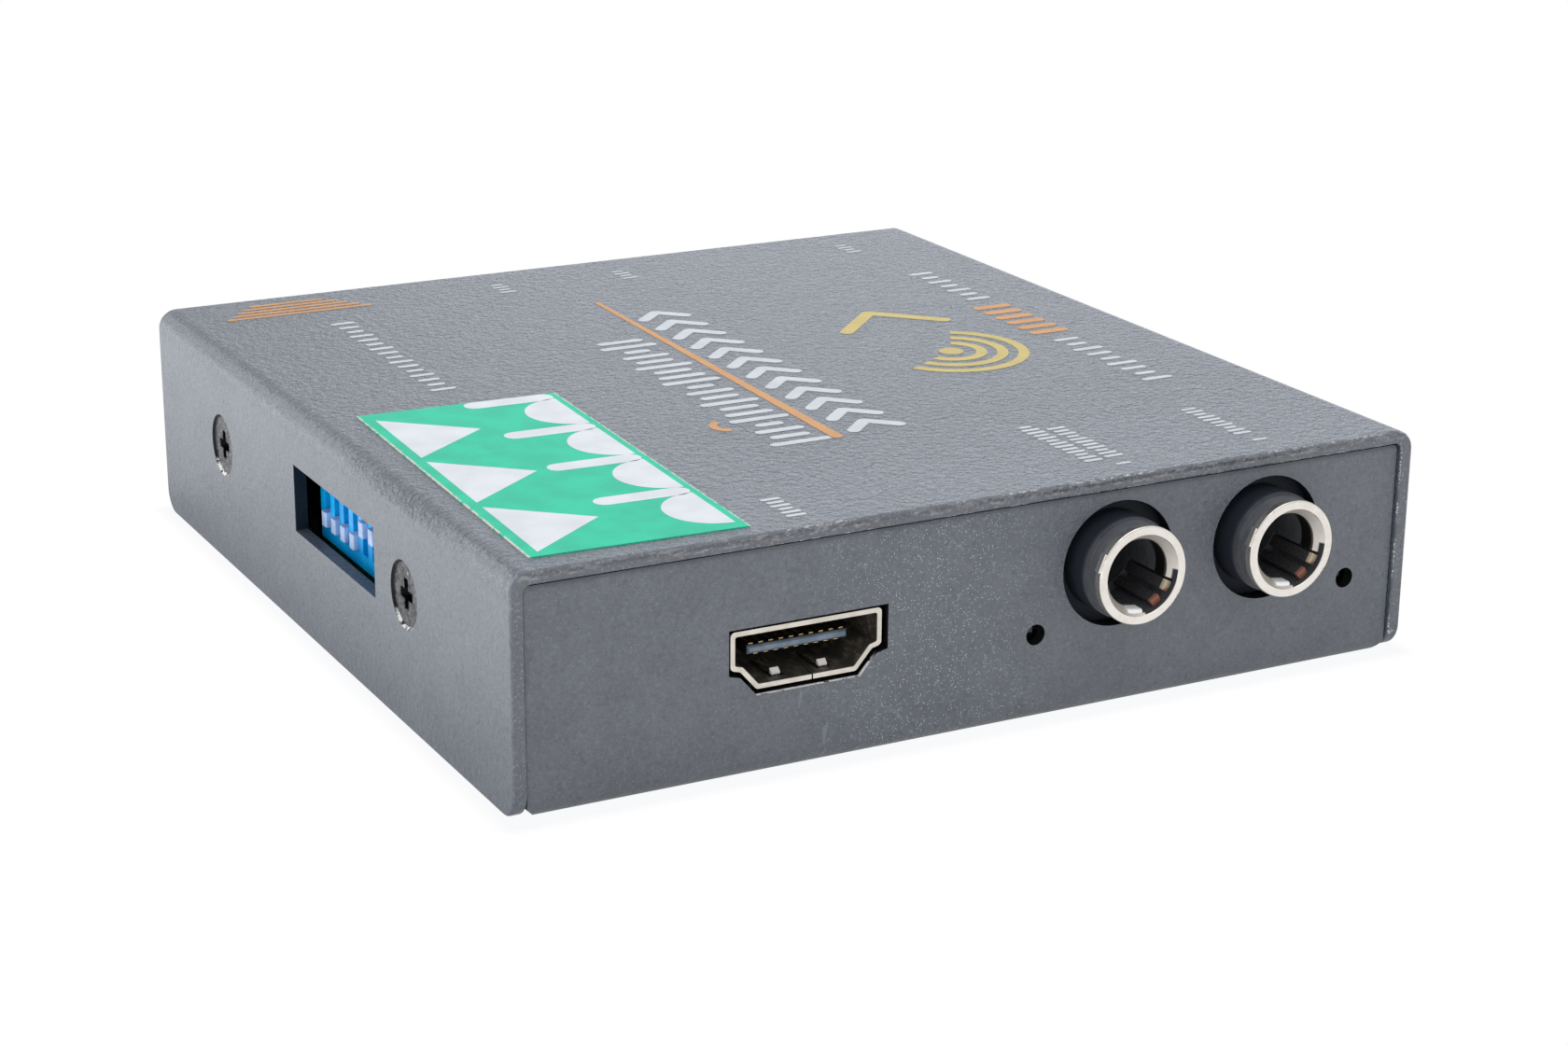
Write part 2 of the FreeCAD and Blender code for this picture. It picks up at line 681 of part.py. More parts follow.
def make_audio_jack(number):
    """One 6.35 mm audio socket: plastic body, plated front ring and its contacts."""
    centre = Vec(jack_x + (number - 1) * jack_pitch, 0, board_top + jack_axis)
    mouth = face_y - jack_out
    body_y = panel_y + board_gap
    end = audio_rear[1]
    seat = mouth + ring_t

    def axis_rod(radius, y0, y1):
        return rod(radius, Vec(centre.x, y0, centre.z), Vec(centre.x, y1, centre.z))

    shell = block(centre.x - jack_w / 2, centre.x + jack_w / 2, body_y, end, board_top, board_top + jack_h)
    shell = rounded(shell, jack_wall / 2, Y, lambda m: True)
    nose = axis_rod(nose_r, seat + nose_neck, body_y + jack_wall)
    neck = axis_rod(nose_neck_r, seat, seat + nose_neck)
    bore = axis_rod(jack_bore_r, mouth - 1, mouth + jack_depth)
    sleeve_bed = axis_rod(sleeve_r, mouth - 1, seat + sleeve_len)

    flange = axis_rod(ring_r, mouth, seat)
    flange = flange.makeFillet(ring_t / 5, [flange.Edges[k] for k in end_edges(flange, -Y)])
    key_r = ring_r - key_w / 2
    key = turned_block(centre, key_angle, key_r, ring_r + key_out, key_w, mouth + ring_t / 5, seat)
    sleeve = axis_rod(sleeve_r, seat, seat + sleeve_len)
    mouth_centre = Vec(centre.x, mouth, centre.z)
    taper = cone(ring_mouth_r, jack_bore_r, mouth_centre, mouth_centre + Y * ring_taper)
    slot_y = mouth + slot_set
    slot = wedge(centre, slot_from, slot_to, jack_bore_r + slot_out, slot_y, body_y + jack_wall)
    spring_r = jack_bore_r + spring_lift
    bed_r = spring_r + spring_t + spring_lift
    bed_w = spring_w + 2 * spring_lift
    spring_bed = turned_block(centre, spring_angle, 0, bed_r, bed_w, slot_y, body_y + leaf_w)
    head_y = slot_y + spring_lift
    head_end = head_y + spring_head_len
    fold_r = spring_r + spring_head_t
    head_bed_r = fold_r + spring_lift
    head_bed = turned_block(centre, spring_angle, 0, head_bed_r, bed_w, slot_y, head_end + spring_lift)
    ferrule = join([flange, key, sleeve]).cut([bore, taper, slot, spring_bed, head_bed])

    strip_r = spring_r + spring_t
    strip = turned_block(centre, spring_angle, spring_r, strip_r, spring_w, head_y, body_y + leaf_w)
    head = turned_block(centre, spring_angle, spring_r, fold_r, spring_w, head_y, head_end)
    strip = round_nose(join([strip, head]), centre, head_y)
    foot = spoke(centre, spring_angle, spring_r + spring_t / 2, 0)
    leg_y = body_y + leaf_w - pin_w
    leg_box = (foot.x - pin_w / 2, foot.x + pin_w / 2, leg_y, leg_y + pin_w)
    leg = block(*leg_box, pin_end, foot.z)
    contacts = [join([strip, leg])]
    for angle in pad_angles:
        pad_r = spring_r + pad_t
        pad = turned_block(centre, angle, spring_r, pad_r, pad_w, seat + spring_lift, body_y + jack_wall)
        contacts.append(pad)
    pockets = [block(*leg_box, board_top - 1, foot.z)]
    reach = jack_w / 2 - spring_lift
    for at in (ring_leaf_at, tip_leaf_at):
        y = mouth + at
        contacts.append(jack_leaf(centre, y, reach))
        half = leaf_w / 2 + 2 * spring_lift
        high = centre.z + leaf_h / 2 + 2 * spring_lift
        low = centre.z - leaf_h / 2 - 2 * spring_lift
        pockets.append(block(centre.x, centre.x + jack_w, y - half, y + half, low, high))
        leg_x = centre.x + reach - 2 * spring_t
        pockets.append(block(leg_x, centre.x + jack_w, y, y + half, board_top - 1, high))

    name = "audio_jack_%d_" % number
    body = join([shell, nose, neck]).cut([bore, sleeve_bed, slot, spring_bed, head_bed] + pockets)
    nodes[name + "body"] = body
    nodes[name + "ferrule"] = ferrule
    nodes[name + "contacts"] = Part.makeCompound(contacts)


def jack_leg_slots():
    """The board slots for the legs of both audio sockets."""
    slots = []
    for number in (1, 2):
        centre = Vec(jack_x + (number - 1) * jack_pitch, 0, board_top + jack_axis)
        body_y = panel_y + board_gap
        foot = spoke(centre, spring_angle, jack_bore_r + spring_lift + spring_t / 2, 0)
        leg_y = body_y + leaf_w - pin_w
        slots.append(pin_slot((foot.x - pin_w / 2, foot.x + pin_w / 2, leg_y, leg_y + pin_w)))
        x_out = centre.x + jack_w / 2 - spring_lift
        for at in (ring_leaf_at, tip_leaf_at):
            y = face_y - jack_out + at + leaf_w / 2
            slots.append(pin_slot((x_out - spring_t, x_out, y - pin_w, y)))
    return slots


def bnc_posts(x):
    """The places of a BNC socket's four posts on the board."""
    block_y0 = bnc_front[1]
    inset = 2 * post_r
    xs = (x - bnc_block_w / 2 + inset, x + bnc_block_w / 2 - inset)
    ys = (block_y0 + inset, board_half_d - 2 * inset)
    return [(px, py) for px in xs for py in ys]


def make_bnc(number):
    """One BNC socket: shell with bayonet studs, insulator, centre contact, washer and nut."""
    x = bnc_x + (number - 1) * bnc_pitch
    z = board_top + bnc_axis
    mouth = rear_face_y + bnc_out
    block_y0 = bnc_front[1]
    collar_end = rear_face_y + washer_t + nut_t + bnc_thread_show

    def axis_rod(radius, y0, y1):
        return rod(radius, Vec(x, y0, z), Vec(x, y1, z))

    x0, x1 = x - bnc_block_w / 2, x + bnc_block_w / 2
    block_z = board_top + 2 * bnc_axis
    base = block(x0, x1, block_y0, board_half_d, board_top, block_z)
    base = rounded(base, bnc_lip, Z, lambda m: True)
    flank = block(x0, x1, board_half_d, rear_panel_y, board_top, block_z)
    collar = axis_rod(bnc_collar_r, rear_panel_y - board_gap / 2, collar_end)
    collar = collar.makeChamfer(bnc_lip, [collar.Edges[k] for k in end_edges(collar, Y)])
    stud_y = mouth - stud_set
    step_y = stud_y + stud_r + bnc_lip
    neck = axis_rod(bnc_neck_r, rear_face_y, step_y)
    barrel = axis_rod(bnc_r, step_y, mouth)
    barrel = barrel.makeChamfer(bnc_lip, [barrel.Edges[k] for k in end_edges(barrel, Y)])
    studs = rod(stud_r, Vec(x, stud_y, z - stud_reach), Vec(x, stud_y, z + stud_reach))
    bore = axis_rod(bnc_bore_r, mouth - bnc_bore_depth, mouth + 1)
    lip = cone(bnc_bore_r, bnc_bore_r + bnc_lip, Vec(x, mouth - bnc_lip, z), Vec(x, mouth, z))
    core_bed = axis_rod(core_r, block_y0 + bnc_lip, mouth)
    posts = [rod(post_r, Vec(px, py, pin_end), Vec(px, py, board_top + 1)) for px, py in bnc_posts(x)]
    tail_y = block_y0 + bnc_lip + 2 * post_r
    tail_bed = rod(core_r, Vec(x, tail_y + core_r, board_top - 1), Vec(x, tail_y + core_r, z))
    shell = join([base, flank, collar, neck, barrel, studs] + posts).cut([bore, lip, core_bed, tail_bed])

    core = axis_rod(core_r, block_y0 + bnc_lip, mouth - core_set)
    disc = axis_rod(bnc_bore_r, mouth - bnc_bore_depth, mouth - bnc_bore_depth + core_disc)
    pin = axis_rod(pin_r, tail_y, mouth - core_set + pin_show)
    pin_bore = axis_rod(pin_bore_r, mouth - core_set + pin_show - pin_bore_depth, mouth)
    slit_half = recess_w / 4
    slit = block(x - pin_r, x + pin_r, mouth - core_set - core_disc, mouth, z - slit_half, z + slit_half)
    tail = rod(post_r, Vec(x, tail_y + core_r, pin_end), Vec(x, tail_y + core_r, z))
    tail_clear = rod(post_r, Vec(x, tail_y + core_r, board_top - 1), Vec(x, tail_y + core_r, z))

    washer = axis_rod(washer_r, rear_face_y, rear_face_y + washer_t)
    washer = washer.cut(axis_rod(bnc_collar_r + thread_clear, rear_face_y - 1, rear))
    nut_y = rear_face_y + washer_t
    nut = hexagon(nut_flat, Vec(x, nut_y, z), Y, nut_t, X)
    corner_r = nut_flat / math.sqrt(3)
    bevel = cone(corner_r, corner_r - nut_t / 4, Vec(x, nut_y + nut_t * 3 / 4, z), Vec(x, nut_y + nut_t, z))
    nut = nut.common(join([axis_rod(corner_r, nut_y, nut_y + nut_t * 3 / 4), bevel]))
    nut = nut.cut(axis_rod(bnc_collar_r + thread_clear, nut_y - 1, nut_y + nut_t + 1))

    name = "sdi_jack_%d_" % number
    nodes[name + "shell"] = shell
    nodes[name + "insulator"] = join([core, disc]).cut([pin, tail_clear])
    nodes[name + "contact"] = join([pin, tail]).cut([pin_bore, slit])
    nodes[name + "washer"] = washer
    nodes[name + "nut"] = nut


def make_power_jack():
    """Coaxial power socket: body, centre pin and barrel spring."""
    z = board_top + power_axis
    mouth = rear_face_y + power_nose_out
    body_y0 = power_front[1]
    body_y1 = body_y0 + power_len

    def axis_rod(radius, y0, y1):
        return rod(radius, Vec(power_x, y0, z), Vec(power_x, y1, z))

    half = power_w / 2
    body = block(power_x - half, power_x + half, body_y0, body_y1, board_top, board_top + power_h)
    body = rounded(body, power_spring_t, Y, lambda m: True)
    nose = axis_rod(power_nose_r, body_y1 - pan_t, mouth)
    nose = nose.makeFillet(power_spring_t, [nose.Edges[k] for k in end_edges(nose, Y)])
    bore = axis_rod(power_bore_r, mouth - power_depth, mouth + 1)
    floor_y = mouth - power_depth
    pin = axis_rod(power_pin_r, body_y0 + power_spring_t, floor_y + power_pin_len - power_pin_tip)
    tip = cone(
        power_pin_r, power_pin_r - power_pin_tip,
        Vec(power_x, floor_y + power_pin_len - power_pin_tip, z), Vec(power_x, floor_y + power_pin_len, z),
    )
    tail_y = body_y0 + power_spring_t
    pin_tail = block(power_x - pin_w / 2, power_x + pin_w / 2, tail_y, tail_y + pin_w, pin_end, z)
    spring_z = z - power_bore_r - power_spring_t
    spring_top = spring_z + power_spring_t
    x0, x1 = power_x - power_spring_w / 2, power_x + power_spring_w / 2
    spring = block(x0, x1, floor_y, mouth - pan_t, spring_z, spring_top)
    x0, x1 = power_x - pin_w / 2, power_x + pin_w / 2
    leg = block(x0, x1, floor_y, floor_y + power_spring_t, pin_end, spring_top)
    spring = join([spring, leg])
    nodes["power_jack_body"] = join([body, nose]).cut([bore, pin, pin_tail, spring])
    nodes["power_jack_pin"] = join([pin, tip, pin_tail])
    nodes["power_jack_spring"] = spring


def power_leg_slots():
    """The board slots for the power socket's two legs."""
    mouth = rear_face_y + power_nose_out
    tail_y = power_front[1] + power_spring_t
    half = pin_w / 2
    floor_y = mouth - power_depth
    return [
        pin_slot((power_x - half, power_x + half, tail_y, tail_y + pin_w)),
        pin_slot((power_x - half, power_x + half, floor_y, floor_y + power_spring_t)),
    ]


def switch_ys():
    """The centre of each slide switch along Y, counted from the front."""
    middle = front + window_front + window_len / 2
    first = middle - (switch_count - 1) / 2 * switch_pitch
    return [first + k * switch_pitch for k in range(switch_count)]


def switch_pins():
    """Each switch pin as x of its drop and y of its middle, with the height that it leaves at."""
    back = -case_w / 2 + switch_set + switch_shell + switch_base
    low = board_top + switch_lift + switch_h / 4
    high = board_top + switch_lift + switch_h * 3 / 4
    result = []
    for y in switch_ys():
        result.append((back + switch_pin, y, low))
        result.append((back + switch_pin + switch_rows / 2, y, high))
    return result


def make_switches():
    """The bank of slide switches: housing, base, pins and one slider per switch."""
    face_x = -case_w / 2 + switch_set
    shell_x = face_x + switch_shell
    back_x = shell_x + switch_base
    ys = switch_ys()
    y0 = ys[0] - (switch_pitch + switch_ends) / 2
    y1 = ys[-1] + (switch_pitch + switch_ends) / 2
    z0 = board_top + switch_lift
    z1 = z0 + switch_h
    middle_z = (z0 + z1) / 2
    housing = block(face_x, shell_x, y0, y1, z0, z1)
    housing = rounded(housing, switch_ends / 6, X, lambda m: True)
    room_x0 = face_x + switch_face
    foot_x0 = room_x0 + slide_gap
    foot_x1 = shell_x - slide_gap
    slot_half_z = (knob_z + switch_travel) / 2 + stop_gap
    room_half_z = (foot_z + switch_travel) / 2 + stop_gap
    cuts = []
    for k, y in enumerate(ys):
        half = knob_y / 2 + slide_gap
        low, high = middle_z - slot_half_z, middle_z + slot_half_z
        cuts.append(block(face_x - 1, room_x0 + 1, y - half, y + half, low, high))
        half = foot_y / 2 + slide_gap
        low, high = middle_z - room_half_z, middle_z + room_half_z
        cuts.append(block(room_x0, shell_x, y - half, y + half, low, high))
        rest_z = middle_z + switch_travel / 2 if k < switch_up else middle_z - switch_travel / 2
        knob_x0, knob_x1 = face_x - knob_out, foot_x0 + foot_y / 4
        half, half_z = knob_y / 2, knob_z / 2
        knob = block(knob_x0, knob_x1, y - half, y + half, rest_z - half_z, rest_z + half_z)
        knob = rounded(knob, knob_y / 8, Z, lambda m: m.x < face_x)
        half, half_z = foot_y / 2, foot_z / 2
        foot = block(foot_x0, foot_x1, y - half, y + half, rest_z - half_z, rest_z + half_z)
        nodes["switch_slider_%d" % (k + 1)] = join([knob, foot])
    nodes["switch_housing"] = housing.cut(cuts)

    base = block(shell_x, back_x, y0, y1, z0, z1)
    feet = []
    for y in (y0, y1 - 2 * switch_ends):
        feet.append(block(shell_x, back_x, y, y + 2 * switch_ends, board_top, z0 + 1))
    pins = []
    for x, y, z in switch_pins():
        inside = back_x - switch_pin
        stub = block(inside, x + switch_pin_t, y - switch_pin / 2, y + switch_pin / 2, z - switch_pin_t, z)
        drop = block(x, x + switch_pin_t, y - switch_pin / 2, y + switch_pin / 2, pin_end, z)
        pins.append(join([stub, drop]))
    nodes["switch_base"] = join([base] + feet).cut(pins)
    nodes["switch_pins"] = Part.makeCompound(pins)


def chip(box, place):
    """A chip package on the board with a chamfered top edge."""
    x, y, w, d, h = box
    x0, y0 = place[0] + x - w / 2, place[1] + y - d / 2
    body = block(x0, x0 + w, y0, y0 + d, board_top, board_top + h)
    rim = [edge for edge in body.Edges if edge.CenterOfMass.z > board_top + h - 1e-6]
    return body.makeChamfer(h / 8, rim)


def make_chips():
    """The chips, the finned heat sink, coils, capacitors and small parts on the board."""
    nodes["main_chip"] = chip(main_chip_box, (0, 0))
    x, y, w, d, h = main_chip_box
    pad_z = board_top + h
    half_w, half_d = w / 2 - thermal_in, d / 2 - thermal_in
    sink_z = pad_z + thermal_t
    nodes["thermal_pad"] = block(x - half_w, x + half_w, y - half_d, y + half_d, pad_z, sink_z)
    fins = [block(x - w / 2, x + w / 2, y - d / 2, y + d / 2, sink_z, sink_z + sink_base)]
    step = (w - fin_t) / (fin_count - 1)
    for k in range(fin_count):
        x0 = x - w / 2 + k * step
        fins.append(block(x0, x0 + fin_t, y - d / 2, y + d / 2, sink_z, sink_z + sink_h))
    nodes["heat_sink"] = join(fins)
    nodes["memory_chip"] = chip(memory_box, main_at)
    nodes["hdmi_receiver"] = chip(receiver_box, hdmi_rear)
    nodes["audio_codec"] = chip(codec_box, audio_rear)
    nodes["crystal"] = chip(crystal_box, hdmi_rear)
    drivers = []
    for k in range(2):
        drivers.append(chip(driver_box, (bnc_front[0] + k * bnc_pitch, bnc_front[1])))
    nodes["cable_drivers"] = Part.makeCompound(drivers)

    coils = []
    for x, y in coil_at:
        x0, y0 = power_front[0] + x - coil_size / 2, power_front[1] + y - coil_size / 2
        body = block(x0, x0 + coil_size, y0, y0 + coil_size, board_top, board_top + coil_h)
        coils.append(rounded(body, coil_corner, Z, lambda m: True))
    nodes["power_coils"] = Part.makeCompound(coils)

    cans = []
    half = can_foot / 2
    for can_x, can_y in can_at:
        x, y = power_front[0] + can_x, power_front[1] + can_y
        foot = block(x - half, x + half, y - half, y + half, board_top, board_top + can_foot_h)
        can = rod(can_r, Vec(x, y, board_top + can_foot_h / 2), Vec(x, y, board_top + can_h))
        can = can.makeFillet(can_r / 8, [can.Edges[k] for k in end_edges(can, Z)])
        cans.append(join([foot, can]))
    nodes["capacitors"] = Part.makeCompound(cans)

    small = []
    rows = [(hdmi_row, hdmi_rear), (audio_row, audio_rear)]
    rows += [(row, main_at) for row in chip_rows]
    for (x, y, length), place in rows:
        y0 = place[1] + y
        for k in range(round((length - chip_w) / chip_pitch) + 1):
            x0 = place[0] + x + k * chip_pitch
            small.append(block(x0, x0 + chip_w, y0, y0 + chip_d, board_top, board_top + chip_h))
    nodes["small_parts"] = Part.makeCompound(small)

    lamps = []
    for x in lamp_x:
        y0 = -board_half_d
        lamps.append(block(x - lamp_w / 2, x + lamp_w / 2, y0, y0 + lamp_d, board_top, board_top + lamp_h))
    nodes["status_lamps"] = Part.makeCompound(lamps)


def make_board():
    """The circuit board with its screw holes and every leg's hole."""
    board = block(-board_half_w, board_half_w, -board_half_d, board_half_d, board_z, board_top)
    board = rounded(board, board_corner, Z, lambda m: True)
    holes = [board_hole(x, y, thread_r + hole_clear) for x, y in supports]
    holes += [pin_slot(leg) for leg in hdmi_legs()]
    holes += jack_leg_slots()
    holes += power_leg_slots()
    for k in range(2):
        x = bnc_x + k * bnc_pitch
        holes += [board_hole(px, py, post_r + hole_clear) for px, py in bnc_posts(x)]
        tail_y = bnc_front[1] + bnc_lip + 2 * post_r + core_r
        holes.append(board_hole(x, tail_y, post_r + hole_clear))
    for x, y, z in switch_pins():
        half = switch_pin / 2
        holes.append(pin_slot((x, x + switch_pin_t, y - half, y + half)))
    nodes["main_board"] = board.cut(holes)


def make_label():
    """The thin stuck-on label near the front left corner of the cover."""
    corner = Vec(label_in_x - case_w / 2, front + label_in_y, case_h)
    label = block(0, label_w, 0, label_d, 0, label_t)
    label.rotate(Vec(0, 0, 0), Z, label_turn)
    label.translate(corner)
    nodes["top_label"] = label


def main():
    make_cover()
    make_chassis()
    make_cover_screws()
    make_supports()
    make_board()
    make_hdmi()
    for number in (1, 2):
        make_audio_jack(number)
        make_bnc(number)
    make_power_jack()
    make_switches()
    make_chips()
    make_label()
    os.makedirs("parts", exist_ok=True)
    for name, shape in nodes.items():
        print(name, len(shape.Solids), "solids", round(shape.Volume, 2), "mm3", "valid", shape.isValid())
        shape.exportStep("parts/%s.step" % name)


main()
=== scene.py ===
"""Looks for the metal video converter box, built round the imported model.

Units are metres in the part's frame: origin at the centre of the underside, +X to the right
seen from the HDMI side, -Y towards the viewer and +Z up. MM turns millimetres into metres.
"""

import json
import math

import bpy
import numpy as np
from mathutils import Matrix, Vector


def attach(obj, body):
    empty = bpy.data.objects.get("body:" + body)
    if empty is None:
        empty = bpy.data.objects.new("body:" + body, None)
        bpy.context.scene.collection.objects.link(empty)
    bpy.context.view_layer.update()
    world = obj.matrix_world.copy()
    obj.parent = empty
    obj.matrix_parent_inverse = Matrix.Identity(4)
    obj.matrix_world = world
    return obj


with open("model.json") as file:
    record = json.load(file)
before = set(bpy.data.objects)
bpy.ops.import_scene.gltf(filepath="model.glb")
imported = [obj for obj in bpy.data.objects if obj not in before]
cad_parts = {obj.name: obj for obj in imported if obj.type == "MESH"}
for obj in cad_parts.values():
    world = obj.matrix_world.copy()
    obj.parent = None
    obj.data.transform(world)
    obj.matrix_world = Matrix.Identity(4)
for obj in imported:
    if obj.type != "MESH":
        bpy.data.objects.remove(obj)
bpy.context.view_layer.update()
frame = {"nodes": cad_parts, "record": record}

MM = 0.001
CASE_W = 93.6
CASE_D = 96.6
CASE_H = 22.6

# Places on the part, in millimetres
WALL = CASE_W / 2  # outer faces of the cover's walls, left and right of the middle
EDGE = CASE_D / 2  # the cover's front and rear edges
PANEL_FACE = EDGE - 0.5  # outer faces of the front and rear panels
PANEL_BACK = PANEL_FACE - 1.2
SCREWS = ((-23.9, 13.0), (27.6, 13.0))  # y and z of the two screws in each wall
SEAT_R = 3.2
WINDOW_Y = (-16.8, 5.4)
WINDOW_Z = (10.1, 17.4)
WINDOW_BACK = -45.3  # x where the window's cut face ends
JACK_X, JACK_PITCH, JACK_Z = 13.8, 16.6, 14.0  # the left jack's axis and the step to the next
RING_FACE = -51.8  # y of the jacks' front
LABEL_W = 20.4
LABEL_T = 0.1
LABEL_TURN = math.radians(-2.3)
LABEL_X, LABEL_Y = 3.0 - WALL, 2.9 - EDGE
PRINT_LIFT = 0.004  # underside of the prints above the cover
FILM_LIFT = 0.002  # and above the label

PAINT = (0.113, 0.125, 0.151)
PANEL = (0.126, 0.134, 0.151)
SHADE_BLACK = (0.004, 0.004, 0.005)  # black painted shade, for recesses and cut faces
GLINT_CELLS = 7.0  # painted glints: cells per millimetre in the powder coat


# Shader building


class Shader:
    """A material's node tree with short calls for the nodes that the finishes use."""

    def __init__(self, name):
        self.mat = bpy.data.materials.new(name)
        self.mat.use_nodes = True
        self.tree = self.mat.node_tree
        self.bsdf = self.tree.nodes["Principled BSDF"]
        coord = self.tree.nodes.new("ShaderNodeTexCoord")
        scale = self.tree.nodes.new("ShaderNodeVectorMath")
        scale.operation = "SCALE"
        scale.inputs["Scale"].default_value = 1 / MM
        self.tree.links.new(coord.outputs["Object"], scale.inputs[0])
        self.mm = scale.outputs[0]

    def put(self, value, socket):
        """Links an output, or sets a constant, on an input socket."""
        if isinstance(value, bpy.types.NodeSocket):
            self.tree.links.new(value, socket)
        elif isinstance(value, (tuple, list)) and len(socket.default_value) == 4:
            socket.default_value = (*value[:3], 1)
        else:
            socket.default_value = value

    def set(self, **inputs):
        """Sets the surface shader's inputs; an underscore stands for a space."""
        for key, value in inputs.items():
            self.put(value, self.bsdf.inputs[key.replace("_", " ")])
        return self

    def math(self, operation, a, b=0.0):
        node = self.tree.nodes.new("ShaderNodeMath")
        node.operation = operation
        self.put(a, node.inputs[0])
        self.put(b, node.inputs[1])
        return node.outputs[0]

    def split(self):
        """The x, y and z of the shaded place, in millimetres."""
        node = self.tree.nodes.new("ShaderNodeSeparateXYZ")
        self.put(self.mm, node.inputs[0])
        return node.outputs

    def stretch(self, x, y, z):
        """The place with each axis scaled, for streaks."""
        node = self.tree.nodes.new("ShaderNodeVectorMath")
        node.operation = "MULTIPLY"
        self.put(self.mm, node.inputs[0])
        node.inputs[1].default_value = (x, y, z)
        return node.outputs[0]

    def noise(self, scale, detail=2.0, rough=0.5, vector=None, distort=0.0):
        """Soft noise with about scale features per millimetre."""
        node = self.tree.nodes.new("ShaderNodeTexNoise")
        self.put(vector or self.mm, node.inputs["Vector"])
        node.inputs["Scale"].default_value = scale
        node.inputs["Detail"].default_value = detail
        node.inputs["Roughness"].default_value = rough
        node.inputs["Distortion"].default_value = distort
        return node.outputs[0]

    def cells(self, scale, output="Distance"):
        """Scattered cells: the distance to the nearest middle, or a colour of each cell's own."""
        node = self.tree.nodes.new("ShaderNodeTexVoronoi")
        self.put(self.mm, node.inputs["Vector"])
        node.inputs["Scale"].default_value = scale
        return node.outputs[output]

    def span(self, value, low, high, to_low=0.0, to_high=1.0):
        """value mapped from low..high to to_low..to_high, smooth and held at the ends."""
        node = self.tree.nodes.new("ShaderNodeMapRange")
        node.interpolation_type = "SMOOTHSTEP"
        self.put(value, node.inputs["Value"])
        node.inputs["From Min"].default_value = low
        node.inputs["From Max"].default_value = high
        node.inputs["To Min"].default_value = to_low
        node.inputs["To Max"].default_value = to_high
        return node.outputs[0]

    def blend(self, factor, a, b):
        """Colour a where factor is 0 and b where it is 1."""
        node = self.tree.nodes.new("ShaderNodeMix")
        node.data_type = "RGBA"
        self.put(factor, node.inputs[0])
        self.put(a, node.inputs[6])
        self.put(b, node.inputs[7])
        return node.outputs[2]

    def bump(self, height, depth_mm, strength=1.0):
        """The surface's normal, tilted by a height between 0 and 1 that stands for depth_mm."""
        node = self.tree.nodes.new("ShaderNodeBump")
        node.inputs["Strength"].default_value = strength
        node.inputs["Distance"].default_value = depth_mm * MM
        self.put(height, node.inputs["Height"])
        return node.outputs[0]

    def add(self, a, b):
        return self.math("ADD", a, b)

    def minus(self, a, b):
        return self.math("SUBTRACT", a, b)

    def times(self, a, *others):
        for b in others:
            a = self.math("MULTIPLY", a, b)
        return a

    def size(self, a):
        return self.math("ABSOLUTE", a)

    def most(self, a, b):
        return self.math("MAXIMUM", a, b)

    def reach(self, a, b):
        """The length of the two sides a and b put at a right angle."""
        return self.math("SQRT", self.add(self.math("POWER", a, 2.0), self.math("POWER", b, 2.0)))

    def within(self, value, low, high, soft=0.05):
        """1 between low and high and 0 beyond them."""
        return self.times(self.span(value, low - soft, low + soft),
                          self.span(value, high + soft, high - soft))


def shade(colour, factor):
    """colour made lighter or darker."""
    return tuple(min(1.0, c * factor) for c in colour)


def powder(name, base, peel_size, dull_share, shading):
    """Powder coat: orange peel, small grains, soft mottling, painted shade and light on the relief
    and tiny painted glints, on the given base.

    peel_size is a dimple's width in millimetres, dull_share is the part of the cells that get no
    painted glint, and shading is how far the painted shade and light of grains and dimples change
    the colour.
    """
    s = Shader(name)
    s.peel = s.noise(1.0 / peel_size, 2.0, 0.55, distort=0.4)
    s.grain = s.noise(2.8, 2.0, 0.6)
    mottle = s.noise(0.22, 3.0, 0.65)
    colour = s.blend(s.span(mottle, 0.3, 0.7), shade(base, 0.92), shade(base, 1.08))
    # Painted shade in the hollows of grains and dimples, painted light on their tops
    for relief, none, full, tone in ((s.grain, 0.52, 0.72, 1.55), (s.grain, 0.44, 0.3, 0.62),
                                     (s.peel, 0.46, 0.3, 0.62), (s.peel, 0.56, 0.7, 1.35)):
        colour = s.blend(s.times(s.span(relief, none, full), shading), colour, shade(base, tone))
    # Tiny painted glints in scattered cells, each with a tint of its own
    pick = s.tree.nodes.new("ShaderNodeSeparateColor")
    s.put(s.cells(GLINT_CELLS, "Color"), pick.inputs[0])
    shiny = s.span(pick.outputs[0], dull_share, dull_share + 0.04)
    s.glint = s.times(s.span(s.cells(GLINT_CELLS), 0.36, 0.17), shiny)
    s.spark = s.blend(pick.outputs[1], (0.45, 0.88, 0.92), (1.0, 0.82, 0.55))
    s.coat = colour
    return s


